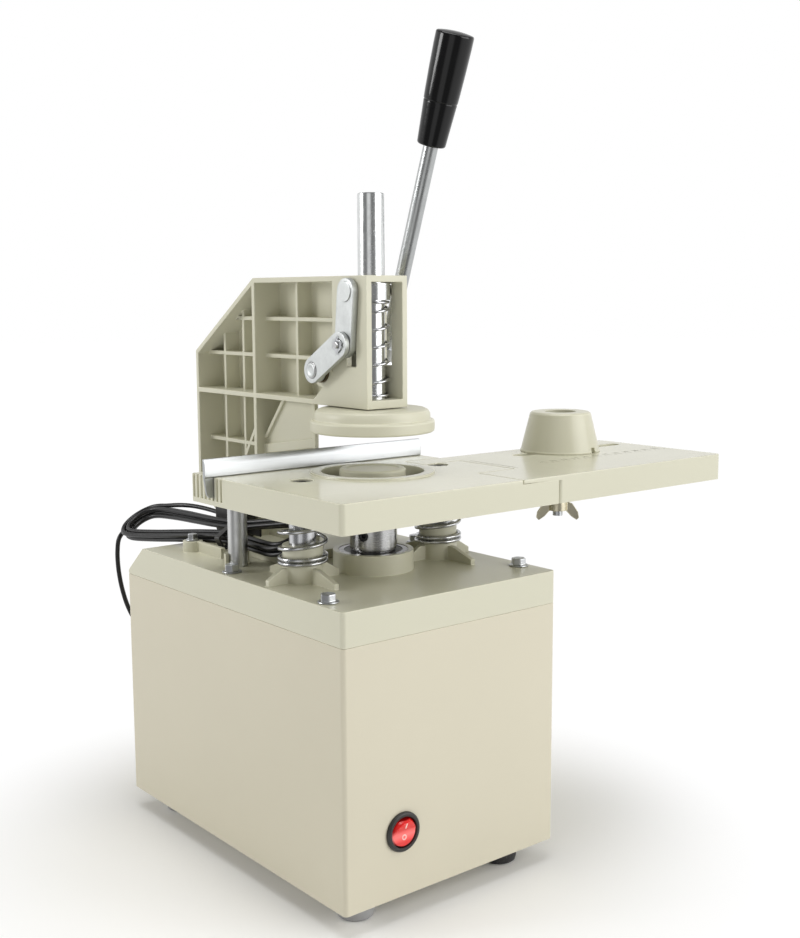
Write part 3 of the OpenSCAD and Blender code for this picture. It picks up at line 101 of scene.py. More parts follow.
# %% Camera
EYE = spot(-460.5, -515.8, 348.8)
LOOK, ROLL = Vector((0.62536, 0.76816, -0.13733)), math.radians(-0.25)
bpy.ops.object.camera_add(location=EYE)
camera = bpy.context.object
camera.name = "bench_camera"
turn = LOOK.to_track_quat("-Z", "Y") @ Quaternion((0, 0, 1), ROLL)
camera.rotation_euler = turn.to_euler()
camera.data.lens = 48.15
camera.data.sensor_width = 36
bpy.context.scene.camera = camera
print("camera", [round(v, 3) for v in camera.rotation_euler])

# %% [markdown]
# ## Mains cord
# The cord leaves a strain relief low on the cabinet's back, climbs behind the left corner and lies
# in a tied hank beside the arm. One centre line runs from the relief to the plug, so the length is
# real. A hand-drawn curve would miss the solids, so the route repeats the numbers of the part's own
# path. A loop of the hank has 24 points: two folds in steps of 30 degrees, and two runs between
# them that draw in at the tied waist. Half-way the hank goes over to its second layer.

# %% Route of the cord
CORD_D = 3.2
PITCH = CORD_D + 0.75
FOLD_R, HOLD_FROM, HOLD_TO, WAIST_S, WAIST_DRAW = 10.2, 2.1, 2.375, -24.0, 7.0
LAYER_FROM, LAYER_RUN, HANK_TILT = 2.125, 0.25, math.radians(30)
LOOP_RINGS, TAIL_FROM, TAIL_RINGS, TAIL_PULL, TAIL_LIFT = 24, 99, 10, 55.0, 2.5
GLAND, GLAND_OUT = Vector((-58, 243, 118)), 22.0
PLUG_END = Vector((-22.5, 212, 202.1))
fold_front, fold_rear = Vector((-34.5, 118, 202)), Vector((-50.5, 272, 191))
hank_mid, hank_half = (fold_front + fold_rear) / 2, (fold_rear - fold_front).length / 2
hank_s = (fold_rear - fold_front).normalized()
hank_across = Vector((math.cos(HANK_TILT), 0, math.sin(HANK_TILT)))
hank_n = hank_across.cross(hank_s).normalized()
hank_u = hank_s.cross(hank_n)


def fold_radius(turns):
    return FOLD_R + PITCH * (max(HOLD_FROM - turns, 0) + max(turns - HOLD_TO, 0))


def run_width(turns, s):
    reach = hank_half + WAIST_S if s < WAIST_S else hank_half - WAIST_S
    return fold_radius(turns) - WAIST_DRAW * math.cos(math.pi / 2 * (s - WAIST_S) / reach) ** 2


def hank_point(ring):
    """A point of the hank. Rings 3 to 8 and 15 to 20 of a loop lie on its runs."""
    turns, k = ring / LOOP_RINGS, ring % LOOP_RINGS
    r = fold_radius(turns)
    layer = PITCH * (min(max((turns - LAYER_FROM) / LAYER_RUN, 0), 1) - 0.5)
    if 3 <= k < 9:
        s = hank_half * (1 - (k - 3) / 3)
        u = run_width(turns, s)
    elif 15 <= k < 21:
        s = hank_half * ((k - 15) / 3 - 1)
        u = -run_width(turns, s)
    else:
        angle = math.radians(30 * k if k < 3 else 30 * (k - 6) if k < 15 else 30 * (k - 12))
        u, s = r * math.sin(angle), r * math.cos(angle)
        s += hank_half if s > -1e-6 and (k < 3 or k > 20) else -hank_half
    return hank_mid + u * hank_u + s * hank_s + layer * hank_n


def tail_point(f):
    """A point between the last loop and the plug, on a low hump over the hank."""
    soft = f * f * (3 - 2 * f)
    start, end = hank_point(TAIL_FROM), PLUG_END + Vector((0, CORD_D, 0))
    lean = Vector((0, 1, 0)) * f * f * (1 - f) - hank_s * f * (1 - f) ** 2
    return start * (1 - soft) + end * soft + TAIL_PULL * lean \
        + 16 * TAIL_LIFT * hank_n * (f * (1 - f)) ** 2


first_layer = -PITCH / 2 * hank_n
lead_end = hank_mid - CORD_D * hank_u + (hank_half + fold_radius(0)) * hank_s + first_layer
climb = [(0, GLAND_OUT, 0), (0, GLAND_OUT + 4, 0), (-0.6, 31.5, 2), (-1.6, 37, 7), (-3, 41, 14),
         (-4.5, 43.5, 23), (-5.6, 45, 32), (-6.2, 46, 42), (-5.8, 46.8, 52)]
route = [GLAND + Vector(step) for step in climb]
route += [lead_end - 9 * hank_u - Vector((0.8, 0, 3.2)),
          lead_end - 5 * hank_u - Vector((0, 0, 0.6)),
          lead_end - 2 * hank_u, lead_end, lead_end + CORD_D / 2 * hank_u]
route += [hank_point(i) for i in range(TAIL_FROM + 1)]
route += [tail_point((i + 1) / TAIL_RINGS) for i in range(TAIL_RINGS)] + [PLUG_END]
print(len(route), "points on the cord")

# %% [markdown]
# A cord has no corners, so the route is drawn as one rounded line. A spline that pulls away from
# its points would miss the solids, so every stretch between two points is a cubic that goes through
# both, cut into short steps. A bevelled curve gives the line its round jacket.

# %% Cord as one curve
CORD_STEP = 2.4


def rounded(points, step):
    """The points of a smooth line through the given ones, about one step apart."""
    ends = [2 * points[0] - points[1]] + points + [2 * points[-1] - points[-2]]
    line = []
    for a, b, c, d in zip(ends, ends[1:], ends[2:], ends[3:]):
        t1 = (b - a).length ** 0.5
        t2 = t1 + (c - b).length ** 0.5
        t3 = t2 + (d - c).length ** 0.5
        count = max(1, round((c - b).length / step))
        for i in range(count):
            t = t1 + (t2 - t1) * i / count
            p, q = a.lerp(b, t / t1), b.lerp(c, (t - t1) / (t2 - t1))
            r = c.lerp(d, (t - t2) / (t3 - t2))
            p, q = p.lerp(q, t / t2), q.lerp(r, (t - t1) / (t3 - t1))
            line.append(p.lerp(q, (t - t1) / (t2 - t1)))
    return line + [points[-1]]


def drawn_curve(name, points, radius):
    """A round wire on a line of points in millimetres of the machine."""
    curve = bpy.data.curves.new(name, "CURVE")
    curve.dimensions = "3D"
    curve.bevel_depth = radius / 1000
    curve.bevel_resolution = 3
    curve.use_fill_caps = True
    spline = curve.splines.new("POLY")
    spline.points.add(len(points) - 1)
    for place, point in zip(spline.points, points):
        place.co = (*spot(*point), 1)
    obj = bpy.data.objects.new(name, curve)
    bpy.context.scene.collection.objects.link(obj)
    return obj


line = rounded(route, CORD_STEP)
mains_cord = drawn_curve("mains_cord", line, CORD_D / 2)
cord_length = sum((b - a).length for a, b in zip(line, line[1:])) / 1000
print("cord of", round(cord_length, 3), "m in", len(line), "points")

# %% [markdown]
# ## Finishes
# Each finish is a node tree on Object coordinates, so its grain has a real size. Shader sums are
# easier to read as Python, so one small class lets values be added and multiplied, and one method
# makes any other node.

# %% Shader values


class Tone:
    """One value of a shader. A sum in Python adds its Math nodes."""

    def __init__(self, finish, socket):
        self.finish, self.socket = finish, socket

    def beside(self, name):
        """Another value of the same node."""
        return Tone(self.finish, self.socket.node.outputs[name])

    def sum(self, operation, *terms):
        return self.finish.node("ShaderNodeMath", {"operation": operation}, dict(enumerate(terms)))

    def __add__(self, other):
        return self.sum("ADD", self, other)

    def __sub__(self, other):
        return self.sum("SUBTRACT", self, other)

    def __rsub__(self, other):
        return self.sum("SUBTRACT", other, self)

    def __mul__(self, other):
        return self.sum("MULTIPLY", self, other)

    __radd__, __rmul__ = __add__, __mul__


class Wiring:
    """Short ways to add and join the nodes of one tree."""

    def __init__(self, tree):
        self.tree = tree

    def node(self, kind, settings=None, sockets=None, out=0):
        made = self.tree.nodes.new(kind)
        for word, value in (settings or {}).items():
            if word == "stops":
                stops = made.color_ramp.elements
                for at, _ in value[1:-1]:
                    stops.new(at)
                for stop, (at, tone) in zip(stops, value):
                    stop.position, stop.color = at, (tone, tone, tone, 1)
            else:
                setattr(made, word, value)
        for word, value in (sockets or {}).items():
            self.join(made.inputs[word], value)
        return Tone(self, made.outputs[out])

    def join(self, socket, value):
        if isinstance(value, Tone):
            self.tree.links.new(value.socket, socket)
        else:
            socket.default_value = value

    def mix(self, share, first, second):
        return self.node("ShaderNodeMix", {"data_type": "RGBA"}, {0: share, 6: first, 7: second}, 2)


class Finish(Wiring):
    """A material of one of the part's slots."""

    def __init__(self, slot, name=None, **fixed):
        self.slot = slot
        self.material = bpy.data.materials.new(name or slot)
        self.material.use_nodes = True
        super().__init__(self.material.node_tree)
        self.shader = self.tree.nodes["Principled BSDF"]
        self.place = self.node("ShaderNodeTexCoord", out="Object")
        for word, value in fixed.items():
            self.give(word.replace("_", " ").title().replace("Ior", "IOR"), value)

    def give(self, word, value):
        self.join(self.shader.inputs[word], value)

    def noise(self, scale, detail, stretch=(1, 1, 1)):
        """Noise with about scale grains in a metre, longer where stretch is small."""
        along = self.node("ShaderNodeMapping", {}, {"Vector": self.place, "Scale": stretch})
        return self.node("ShaderNodeTexNoise", {},
                         {"Vector": along, "Scale": scale, "Detail": detail})

    def ramp(self, value, low, high):
        return self.node("ShaderNodeValToRGB", {"stops": [(low, 0.0), (high, 1.0)]}, {0: value})

    def bump(self, height, depth, strength):
        """Relief of the given depth in millimetres."""
        self.give("Normal", self.node("ShaderNodeBump", {}, {
            "Height": height, "Distance": depth / 1000, "Strength": strength}))


def tint(red, green, blue):
    """A colour as it is seen on a screen, 0 to 255, in the shader's linear light."""
    linear = [v / 12.92 if v <= 0.04045 else ((v + 0.055) / 1.055) ** 2.4
              for v in (red / 255, green / 255, blue / 255)]
    return (*linear, 1)


def shifted(colour, share):
    return (*(min(1, c * share) for c in colour[:3]), 1)


print("shader values ready")

# %% [markdown]
# ### Beige paint and beige mouldings
# The cabinet is sheet with a slightly warm, finely pebbled paint. The cover, table and arm are
# satin mouldings of a greener beige, with a fine grain and faint clouds of colour. Their edges are
# painted a little lighter, a painted highlight, and are a little glossier. Clouds, patches, scuffs
# and grain are noise of four sizes, given in grains to a metre. The highlighted edges are the
# bevelled strips of the mesh, which take a finish of their own.

# %% Beige finishes
CLOUDS, PATCHES, SCUFFS, SCUFF_LINES = 7, 55, 40, (1, 9, 9)
PAINT_GRAIN, MOULDING_GRAIN = 520, 900


def beige(slot, name, colour, rough, grain_scale, grain_depth):
    """A beige finish. The grain's depth is in millimetres."""
    finish = Finish(slot, name)
    cloud, patch = finish.noise(CLOUDS, 2), finish.noise(PATCHES, 4)
    grain = finish.noise(grain_scale, 3)
    scuff = finish.ramp(finish.noise(SCUFFS, 6, SCUFF_LINES), 0.62, 0.72)
    base = finish.mix(cloud, shifted(colour, 0.965), shifted(colour, 1.03))
    base = finish.mix(patch * 0.25, base, shifted(colour, 0.94))
    finish.give("Base Color", finish.mix(scuff * 0.06, base, shifted(colour, 1.08)))
    finish.give("Roughness", rough + 0.06 * (grain - 0.5) + 0.06 * (patch - 0.5) + 0.04 * scuff)
    finish.bump(grain, grain_depth, 0.5)
    return finish


PAINT, MOULDING = tint(208, 202, 182), tint(206, 204, 184)
# Painted highlight: the bevelled strips are painted a little lighter than the faces.
PAINT_EDGE_HIGHLIGHT, MOULDING_EDGE_HIGHLIGHT = shifted(PAINT, 1.06), shifted(MOULDING, 1.07)
cabinet_paint = beige("cabinet_paint", "cabinet_paint", PAINT, 0.44, PAINT_GRAIN, 0.06)
beige_plastic = beige("beige_plastic", "beige_moulding", MOULDING, 0.40, MOULDING_GRAIN, 0.03)
table_satin = beige("beige_plastic", "table_satin", MOULDING, 0.20, MOULDING_GRAIN, 0.004)
cover_satin = beige("beige_plastic", "cover_satin", MOULDING, 0.30, MOULDING_GRAIN, 0.006)
cabinet_edge_highlight = beige("cabinet_paint", "cabinet_edge_highlight", PAINT_EDGE_HIGHLIGHT, 0.34, PAINT_GRAIN, 0.03)
beige_edge_highlight = beige("beige_plastic", "beige_edge_highlight", MOULDING_EDGE_HIGHLIGHT, 0.30, MOULDING_GRAIN, 0.02)
print("beige finishes made")

# %% [markdown]
# ### Metals
# Ground rods show fine rings and long streaks, zinc plate is cloudy with fine scratches, the fence
# is brushed along its length, and spring wire is drawn. All are metallic, and differ in roughness
# and in the way their noise is stretched.

# %% Metal finishes
METAL_CLOUDS = 90
ROUND, LENGTH, UPRIGHT, EVEN = (1, 1, 26), (0.06, 22, 22), (14, 14, 0.35), (1, 1, 1)


def metal(slot, colour, rough, along, streak_scale=60, depth=0.012, cloudy=0.25, name=None):
    """A metal with streaks along a direction, and clouds by the share cloudy."""
    finish = Finish(slot, name, metallic=1.0)
    cloud, streak = finish.noise(METAL_CLOUDS, 4), finish.noise(streak_scale, 5, along)
    scratch = finish.ramp(finish.noise(streak_scale * 2.5, 6, along), 0.60, 0.68)
    base = finish.mix(cloud * cloudy + streak * 0.35, shifted(colour, 1.10), shifted(colour, 0.72))
    finish.give("Base Color", finish.mix(scratch * 0.35, base, shifted(colour, 0.80)))
    finish.give("Roughness", rough + 0.16 * (streak - 0.5) + cloudy * 0.4 * (cloud - 0.5)
                + 0.08 * scratch)
    finish.bump(streak + 0.5 * scratch, depth, 0.6)
    return finish


bright_steel = metal("bright_steel", tint(200, 201, 203), 0.22, UPRIGHT)
turned_steel = metal("bright_steel", tint(190, 190, 190), 0.24, ROUND, name="turned_steel")
zinc_steel = metal("zinc_steel", tint(192, 194, 196), 0.34, EVEN, 220, 0.02, 0.5)
spring_steel = metal("spring_steel", tint(196, 197, 199), 0.22, EVEN, 150, 0.008)
dark_steel = metal("dark_steel", tint(78, 78, 82), 0.38, ROUND, 80, 0.01)
# Painted shade: the bearing's outer ring is bright steel, painted dark for the shade under the
# table.
ring_steel = metal("bright_steel", tint(66, 66, 68), 0.22, ROUND, name="ring_steel")
# Painted shade: the post screws are zinc, painted dark grey for the shade in their deep recesses.
painted_shade_zinc = metal("zinc_steel", tint(84, 83, 80), 0.34, EVEN, 220, 0.02, 0.5, "painted_shade_zinc")
lever_zinc = metal("bright_steel", tint(190, 192, 192), 0.30, EVEN, 460, 0.008, 0.8, "lever_zinc")
plunger_steel = metal("bright_steel", tint(232, 234, 234), 0.22, EVEN, 330, 0.006, 0.9,
                      "plunger_steel")
guide_zinc = metal("zinc_steel", tint(222, 223, 222), 0.40, EVEN, 200, 0.05, 1.0, "guide_zinc")
# The wing nuts are zinc with a warm olive tint, a painted reflection of the beige underside.
wing_zinc_painted_reflection = metal("zinc_steel", tint(216, 209, 184), 0.34, EVEN, 220, 0.02, 0.5, "wing_zinc_painted_reflection")
plate_zinc = metal("zinc_steel", tint(206, 209, 208), 0.44, EVEN, 420, 0.03, 0.8, "plate_zinc")
aluminium = metal("aluminium", tint(176, 178, 179), 0.38, LENGTH, 55, 0.012, 0.10)
bronze = metal("bronze", tint(112, 100, 80), 0.42, EVEN, 260, 0.02, 0.4)
print("metal finishes made")

# %% [markdown]
# ### Rubber, black mouldings, the red rocker and nylon
# Rubber is matt and dusty, the cord's jacket is a little softer than the moulded bezel, and the
# grip is polished. The rocker is red, and its glow is painted light: a faint red glow over all, and
# a pale pink painted highlight on its lower half, set by height.

# %% Other finishes
MOULDED_CLOUDS, SPECKS, DUST = 120, 700, tint(150, 148, 142)
# Heights in metres where the rocker's painted highlight band rises and falls.
PAINTED_HIGHLIGHT_RISE, PAINTED_HIGHLIGHT_FALL = (0.0466, 0.0482), (0.0510, 0.0515)


def moulded(slot, colour, rough, grain_scale, depth, dust=0.0, name=None, **fixed):
    """Rubber or plastic with specks of dust by the share dust."""
    finish = Finish(slot, name, **fixed)
    cloud, grain = finish.noise(MOULDED_CLOUDS, 4), finish.noise(grain_scale, 3)
    speck = finish.ramp(finish.noise(SPECKS, 5), 0.60, 0.75)
    base = finish.mix(cloud, shifted(colour, 0.8), shifted(colour, 1.2))
    finish.give("Base Color", finish.mix(speck * dust, base, DUST))
    finish.give("Roughness", rough + 0.12 * (grain - 0.5) + 0.10 * (cloud - 0.5))
    finish.bump(grain, depth, 0.5)
    return finish


black_rubber = moulded("black_rubber", tint(44, 44, 45), 0.74, 900, 0.06, 0.30)
# Painted highlight: the left feet are black rubber too, painted pale grey where glare falls on
# them.
pale_painted_rubber = moulded("black_rubber", tint(158, 158, 160), 0.70, 500, 0.08, 0.5, "pale_painted_rubber")
black_plastic = moulded("black_plastic", tint(46, 45, 44), 0.42, 1200, 0.03, 0.05)
cord_jacket = moulded("black_plastic", tint(17, 17, 18), 0.34, 700, 0.01, 0.03, "cord_jacket")
black_gloss = moulded("black_gloss", tint(9, 9, 10), 0.13, 300, 0.002, 0.004,
                      specular_ior_level=0.36)
# Painted light: the rocker glows faintly red all over, with a pale pink painted highlight in a band
# on its lower half.
red_plastic = moulded("red_plastic", tint(214, 24, 20), 0.20, 200, 0.004, 0.0, coat_weight=0.25,
                      emission_strength=0.7)
height = red_plastic.node("ShaderNodeSeparateXYZ", {}, {0: red_plastic.place}, out="Z")
painted_highlight_band = red_plastic.ramp(height, *PAINTED_HIGHLIGHT_RISE) - red_plastic.ramp(height, *PAINTED_HIGHLIGHT_FALL)
red_plastic.give("Emission Color",
                 red_plastic.mix(painted_highlight_band, tint(84, 6, 8), tint(226, 146, 142)))
white_nylon = moulded("white_nylon", tint(226, 226, 218), 0.46, 600, 0.02, 0.04)
mark_white = moulded("white_nylon", tint(255, 205, 198), 0.40, 600, 0.004, 0.0, "mark_white")
scale_ink = moulded("black_plastic", tint(110, 108, 94), 0.60, 900, 0.004, 0.0, "scale_ink")
print("all finishes made")

# %% [markdown]
# ## Working on the solids
# A moulding has no knife edges, but the frame's solids do. A copy of the node is merged into one
# skin, its flat faces are joined, and a Bevel modifier breaks the edges. The copy then replaces the
# node, which stays as it is for collision. Weighted normals keep the flats flat beside the small
# rounds.

# %% Helpers for a piece
MERGE, FLAT, SHARP, SOFT = 2e-6, math.radians(0.3), math.radians(32), 38


def pick(obj):
    bpy.ops.object.select_all(action="DESELECT")
    obj.select_set(True)
    bpy.context.view_layer.objects.active = obj


def edit(obj):
    pick(obj)
    bpy.ops.object.mode_set(mode="EDIT")
    bpy.ops.mesh.select_all(action="SELECT")


def leave():
    bpy.ops.object.mode_set(mode="OBJECT")


def apply(obj, kind, **settings):
    """Adds a modifier with these settings and applies it."""
    pick(obj)
    bpy.ops.object.modifier_add(type=kind)
    modifier = obj.modifiers[-1]
    for word, value in settings.items():
        setattr(modifier, word, value)
    bpy.ops.object.modifier_apply(modifier=modifier.name)


def settle():
    """Applies the place, turn and scale of the picked object to its mesh."""
    bpy.ops.object.transform_apply(location=True, rotation=True, scale=True)


def smooth(obj, angle=SOFT):
    pick(obj)
    bpy.ops.object.shade_smooth_by_angle(angle=math.radians(angle))
    apply(obj, "WEIGHTED_NORMAL", keep_sharp=True, weight=60)


def soften(obj, width, segments, strip):
    """Breaks every sharp edge by width millimetres. The strips take the material numbered strip."""
    apply(obj, "BEVEL", width=width / 1000, segments=segments, limit_method="ANGLE",
          angle_limit=SHARP, use_clamp_overlap=False, loop_slide=False, material=strip)
    smooth(obj)


def wear(obj, finish, body, *replaced, edge=None):
    """Gives a piece its finish, and lets it ride on a body in place of CAD nodes."""
    obj.data.materials.clear()
    for one in [finish] + ([edge] if edge else []):
        obj.data.materials.append(one.material)
    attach(obj, body)
    if replaced:
        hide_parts(*replaced)


def skin_of(node):
    """A merged copy of a node's mesh, its flat faces joined."""
    obj = bpy.data.objects.new(node + "_worked", nodes[node].data.copy())
    bpy.context.scene.collection.objects.link(obj)
    obj.data.materials.clear()
    edit(obj)
    bpy.ops.mesh.customdata_custom_splitnormals_clear()
    bpy.ops.mesh.remove_doubles(threshold=MERGE)
    bpy.ops.mesh.dissolve_limited(angle_limit=FLAT)
    bpy.ops.mesh.vert_connect_concave()
    leave()
    return obj


def worked(node, finish, width, edge=None, segments=2):
    """A copy of a node with broken edges, whose strips may take an edge finish of their own."""
    obj = skin_of(node)
    for one in (finish, edge or finish):
        obj.data.materials.append(one.material)
    soften(obj, width, segments, strip=1 if edge else -1)
    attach(obj, body_of[node])
    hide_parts(node)
    return obj


print("helpers ready")

# %% [markdown]
# ## Mouldings and sheet
# These keep the shape of their solids and get rounded edges of the size that each process leaves:
# about half a millimetre on bent sheet and mouldings, less on small pressed pieces. The last number
# of each row is that width in millimetres. The fillet of the extension's rounded seam edge runs out
# past the front face, and is set back to it with Scale.

# %% Worked copies
# The bevelled strips of these mouldings take the lighter painted highlight.
for node, finish, width in (
        ("arm", beige_plastic, 0.5), ("press_disc", beige_plastic, 0.5),
        ("locating_cone", cover_satin, 0.4), ("top_cover", cover_satin, 0.5),
        ("table", table_satin, 0.45), ("extension", table_satin, 0.45)):
    worked(node, finish, width, beige_edge_highlight)
extension, front = bpy.data.objects["extension_worked"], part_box("extension")[0].y
edit(extension)
bpy.ops.mesh.select_all(action="DESELECT")
leave()
for corner in extension.data.vertices:
    corner.select = corner.co.y < front
bpy.ops.object.mode_set(mode="EDIT")
bpy.ops.transform.resize(value=(1, 0, 1), center_override=(0, front, 0))
leave()
smooth(extension)
# The cabinet's bevelled strips take the lighter painted highlight.
worked("cabinet", cabinet_paint, 0.4, cabinet_edge_highlight)
for node, finish, width in (
        ("fence", aluminium, 0.25), ("crank", plate_zinc, 0.35), ("upper_link", plate_zinc, 0.35),
        ("star_washer", zinc_steel, 0.12), ("crank_pin", turned_steel, 0.4),
        ("lever_hub", zinc_steel, 0.4), ("lever_shaft", turned_steel, 0.3),
        ("switch_bezel", black_plastic, 0.3), ("switch_rocker", red_plastic, 0.25),
        ("cutter_holder", turned_steel, 0.25), ("holder_set_screw", dark_steel, 0.15),
        ("cutter", dark_steel, 0.06), ("ejector_pad", beige_plastic, 0.3),
        ("bearing_seal", black_plastic, 0.15), ("spring_collar", plunger_steel, 0.3),
        ("cutting_pad", white_nylon, 0.3), ("pad_screw", zinc_steel, 0.15),
        # The post screws take the dark painted shade.
        # The wing nuts take zinc with the painted reflection of the beige underside.
        ("post_screws", painted_shade_zinc, 0.2), ("wing_nut_front", wing_zinc_painted_reflection, 0.5),
        ("wing_nut_rear", wing_zinc_painted_reflection, 0.5), ("cone_bolt", zinc_steel, 0.25),
        ("cone_nut", zinc_steel, 0.25), ("cover_bolts", zinc_steel, 0.55)):
    worked(node, finish, width)
print("worked copies made")

# %% [markdown]
# ## Rods, posts, feet and the grip
# Round pieces are lathe work. A circle is drawn up ring by ring with Extrude and Scale, which gives
# a clean outline, and the whole is then turned to its axis. Rings are pairs of radius and height.

# %% Rods and posts
ROD_R, ROD_CHAMFER, POST_CHAMFER = 8.0, 0.8, 0.5
TABLE_POST_R, TABLE_POST_X = 8.0, 52.0
GUIDE_POST_R, GUIDE_POST_X, GUIDE_POST_Y = 6.0, 59.0, 136.0


def turned(name, rings, at, axis=(0, 0, 1), segments=64):
    """A piece of lathe work from rings of radius and height in millimetres."""
    bpy.ops.object.select_all(action="DESELECT")
    radius, low = rings[0]
    bpy.ops.mesh.primitive_circle_add(vertices=segments, radius=radius / 1000, fill_type="NGON",
                                      location=(0, 0, low / 1000))
    obj = bpy.context.object
    obj.name = obj.data.name = name
    bpy.ops.object.mode_set(mode="EDIT")
    bpy.ops.mesh.select_all(action="SELECT")
    for wide, high in rings[1:]:
        bpy.ops.mesh.extrude_region_move(
            TRANSFORM_OT_translate={"value": (0, 0, (high - low) / 1000)})
        share = wide / radius
        bpy.ops.transform.resize(value=(share, share, 1), center_override=(0, 0, high / 1000))
        radius, low = wide, high
    bpy.ops.mesh.select_all(action="SELECT")
    bpy.ops.mesh.normals_make_consistent(inside=False)
    leave()
    settle()
    obj.matrix_world = Matrix.Translation(at) @ Vector((0, 0, 1)).rotation_difference(
        Vector(axis)).to_matrix().to_4x4()
    settle()
    return obj


def joined(name, pieces):
    pick(pieces[0])
    for piece in pieces:
        piece.select_set(True)
    bpy.ops.object.join()
    pieces[0].name = pieces[0].data.name = name
    return pieces[0]


def rounded_rod(radius, low, high, chamfer):
    return [(radius - chamfer, low), (radius, low + chamfer), (radius, high - chamfer),
            (radius - 0.3 * chamfer, high - 0.3 * chamfer), (radius - chamfer, high)]


def heights(node):
    """The lowest and highest millimetre of a node."""
    return [corner.z * 1000 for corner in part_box(node)]


rod = turned("plunger_rod_ground", rounded_rod(ROD_R, *heights("plunger_rod"), ROD_CHAMFER),
             spot(0, SPINDLE_Y, 0))
smooth(rod)
wear(rod, plunger_steel, "plunger", "plunger_rod")
for name, node, radius, x, y, finish in (
        ("table_posts_ground", "table_posts", TABLE_POST_R, TABLE_POST_X, SPINDLE_Y, bright_steel),
        ("guide_posts_plated", "guide_posts", GUIDE_POST_R, GUIDE_POST_X, GUIDE_POST_Y,
         guide_zinc)):
    rings = rounded_rod(radius, *heights(node), POST_CHAMFER)
    posts = joined(name, [turned("post", rings, spot(side, y, 0)) for side in (-x, x)])
    smooth(posts)
    wear(posts, finish, body_of[node], node)
print("rod between", heights("plunger_rod"))

# %% [markdown]
# The feet are rubber cones with a rounded rim, turned like the posts. Those on the left are the
# same black rubber, painted pale grey as a painted highlight. A second object for them would be
# more to move, so their faces are picked by place and take the pale painted rubber.

# %% Feet
FOOT_X, FOOT_FRONT_Y, FOOT_REAR_Y = 56.0, 23.0, 220.0
foot_rings = [(9.0, 0), (9.8, 0.25), (10.4, 0.8), (11.0, 3), (11.4, 8), (11.5, 12), (11.5, 14)]
feet = joined("rubber_feet", [turned("foot", foot_rings, spot(x, y, 0))
                              for x in (-FOOT_X, FOOT_X) for y in (FOOT_FRONT_Y, FOOT_REAR_Y)])
smooth(feet)
wear(feet, black_rubber, "base", "feet", edge=pale_painted_rubber)
# Faces on the left take the pale painted highlight rubber.
for face in feet.data.polygons:
    face.material_index = int(face.center.x < spot(0, 0, 0).x)
print("feet of", len(feet.data.polygons), "faces")

# %% [markdown]
# The lever leans to the front. Its rod is plated, and the grip on it is a polished moulding that
# widens upwards, with a groove below the middle and a domed end. Both are lathe work on the same
# leaning axis, so the grip's wall stays even round the rod.

# %% Lever rod and grip
SHAFT_Y, SHAFT_Z, LEVER_X, LEAN = 106.0, 304.0, 32.0, math.radians(19.6)
LEVER_R, LEVER_FROM, LEVER_TO, LEVER_CHAMFER, GRIP_FOOT = 4.5, 6.2, 186.0, 0.4, 140.0
LEVER_FOOT = spot(LEVER_X, SHAFT_Y, SHAFT_Z)
lever_axis = (0, -math.sin(LEAN), math.cos(LEAN))
lever_rings = rounded_rod(LEVER_R, LEVER_FROM, LEVER_TO, LEVER_CHAMFER)
lever = turned("lever_rod_plated", lever_rings, LEVER_FOOT, lever_axis, 48)
smooth(lever)
wear(lever, lever_zinc, "lever", "lever_rod")
grip_rings = [
    (7.2, 0.0), (7.8, 0.15), (8.3, 0.6), (8.6, 1.3), (9.1, 10), (9.9, 23.4), (10.0, 24.7),
    (9.97, 25.2), (9.85, 25.45), (9.85, 25.75), (10.05, 25.95), (10.2, 26.4), (10.4, 30),
    (10.9, 44), (11.2, 57), (11.2, 62.7), (11.1, 63.3), (10.8, 63.8), (10.2, 64.1),
    (8.6, 64.45), (6.0, 64.8), (3.5, 65.02), (1.2, 65.1)]
grip = turned("lever_grip_polished", [(r, GRIP_FOOT + h) for r, h in grip_rings], LEVER_FOOT,
              lever_axis, 96)
smooth(grip, 50)
wear(grip, black_gloss, "lever", "lever_grip")
print("lever pieces made")

# %% [markdown]
# The ends of the link's pin and of the crank's shaft are riveted over, which leaves a low ring with
# a dimple on the left face of each plate. Bump would do in one view, but a turned disc of a few
# rings also shows in the mesh and from the side.

# %% Riveted pin ends
CROSS_PIN_Z = 350.94
rivet_rings = [(4.3, -0.2), (4.3, 0.1), (4.1, 0.3), (3.6, 0.4), (2.9, 0.36), (2.3, 0.16),
               (1.2, 0.1)]
for node, y, z, sunk in (("upper_link", SPINDLE_Y, CROSS_PIN_Z, 0.7),
                         ("crank", SHAFT_Y, SHAFT_Z, -0.4)):
    face = Vector((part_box(node)[0].x + sunk / 1000, spot(0, y, 0).y, z / 1000))
    rivet = turned(node + "_rivet", rivet_rings, face, (-1, 0, 0), 40)
    smooth(rivet)
    wear(rivet, plate_zinc, body_of[node])
print("rivets made")

# %% [markdown]
# ## Springs
# A coil is a wire on a helix whose ends are closed turns. The Screw modifier has one pitch only, so
# the line is worked out and drawn as a curve, then made a mesh. A row gives the place across, the
# radius, the wire, both heights, and the turns of the lower end, the free part and the upper end.

# %% Coil springs
TURN_STEPS, CLOSED_GAP = 40, 0.25


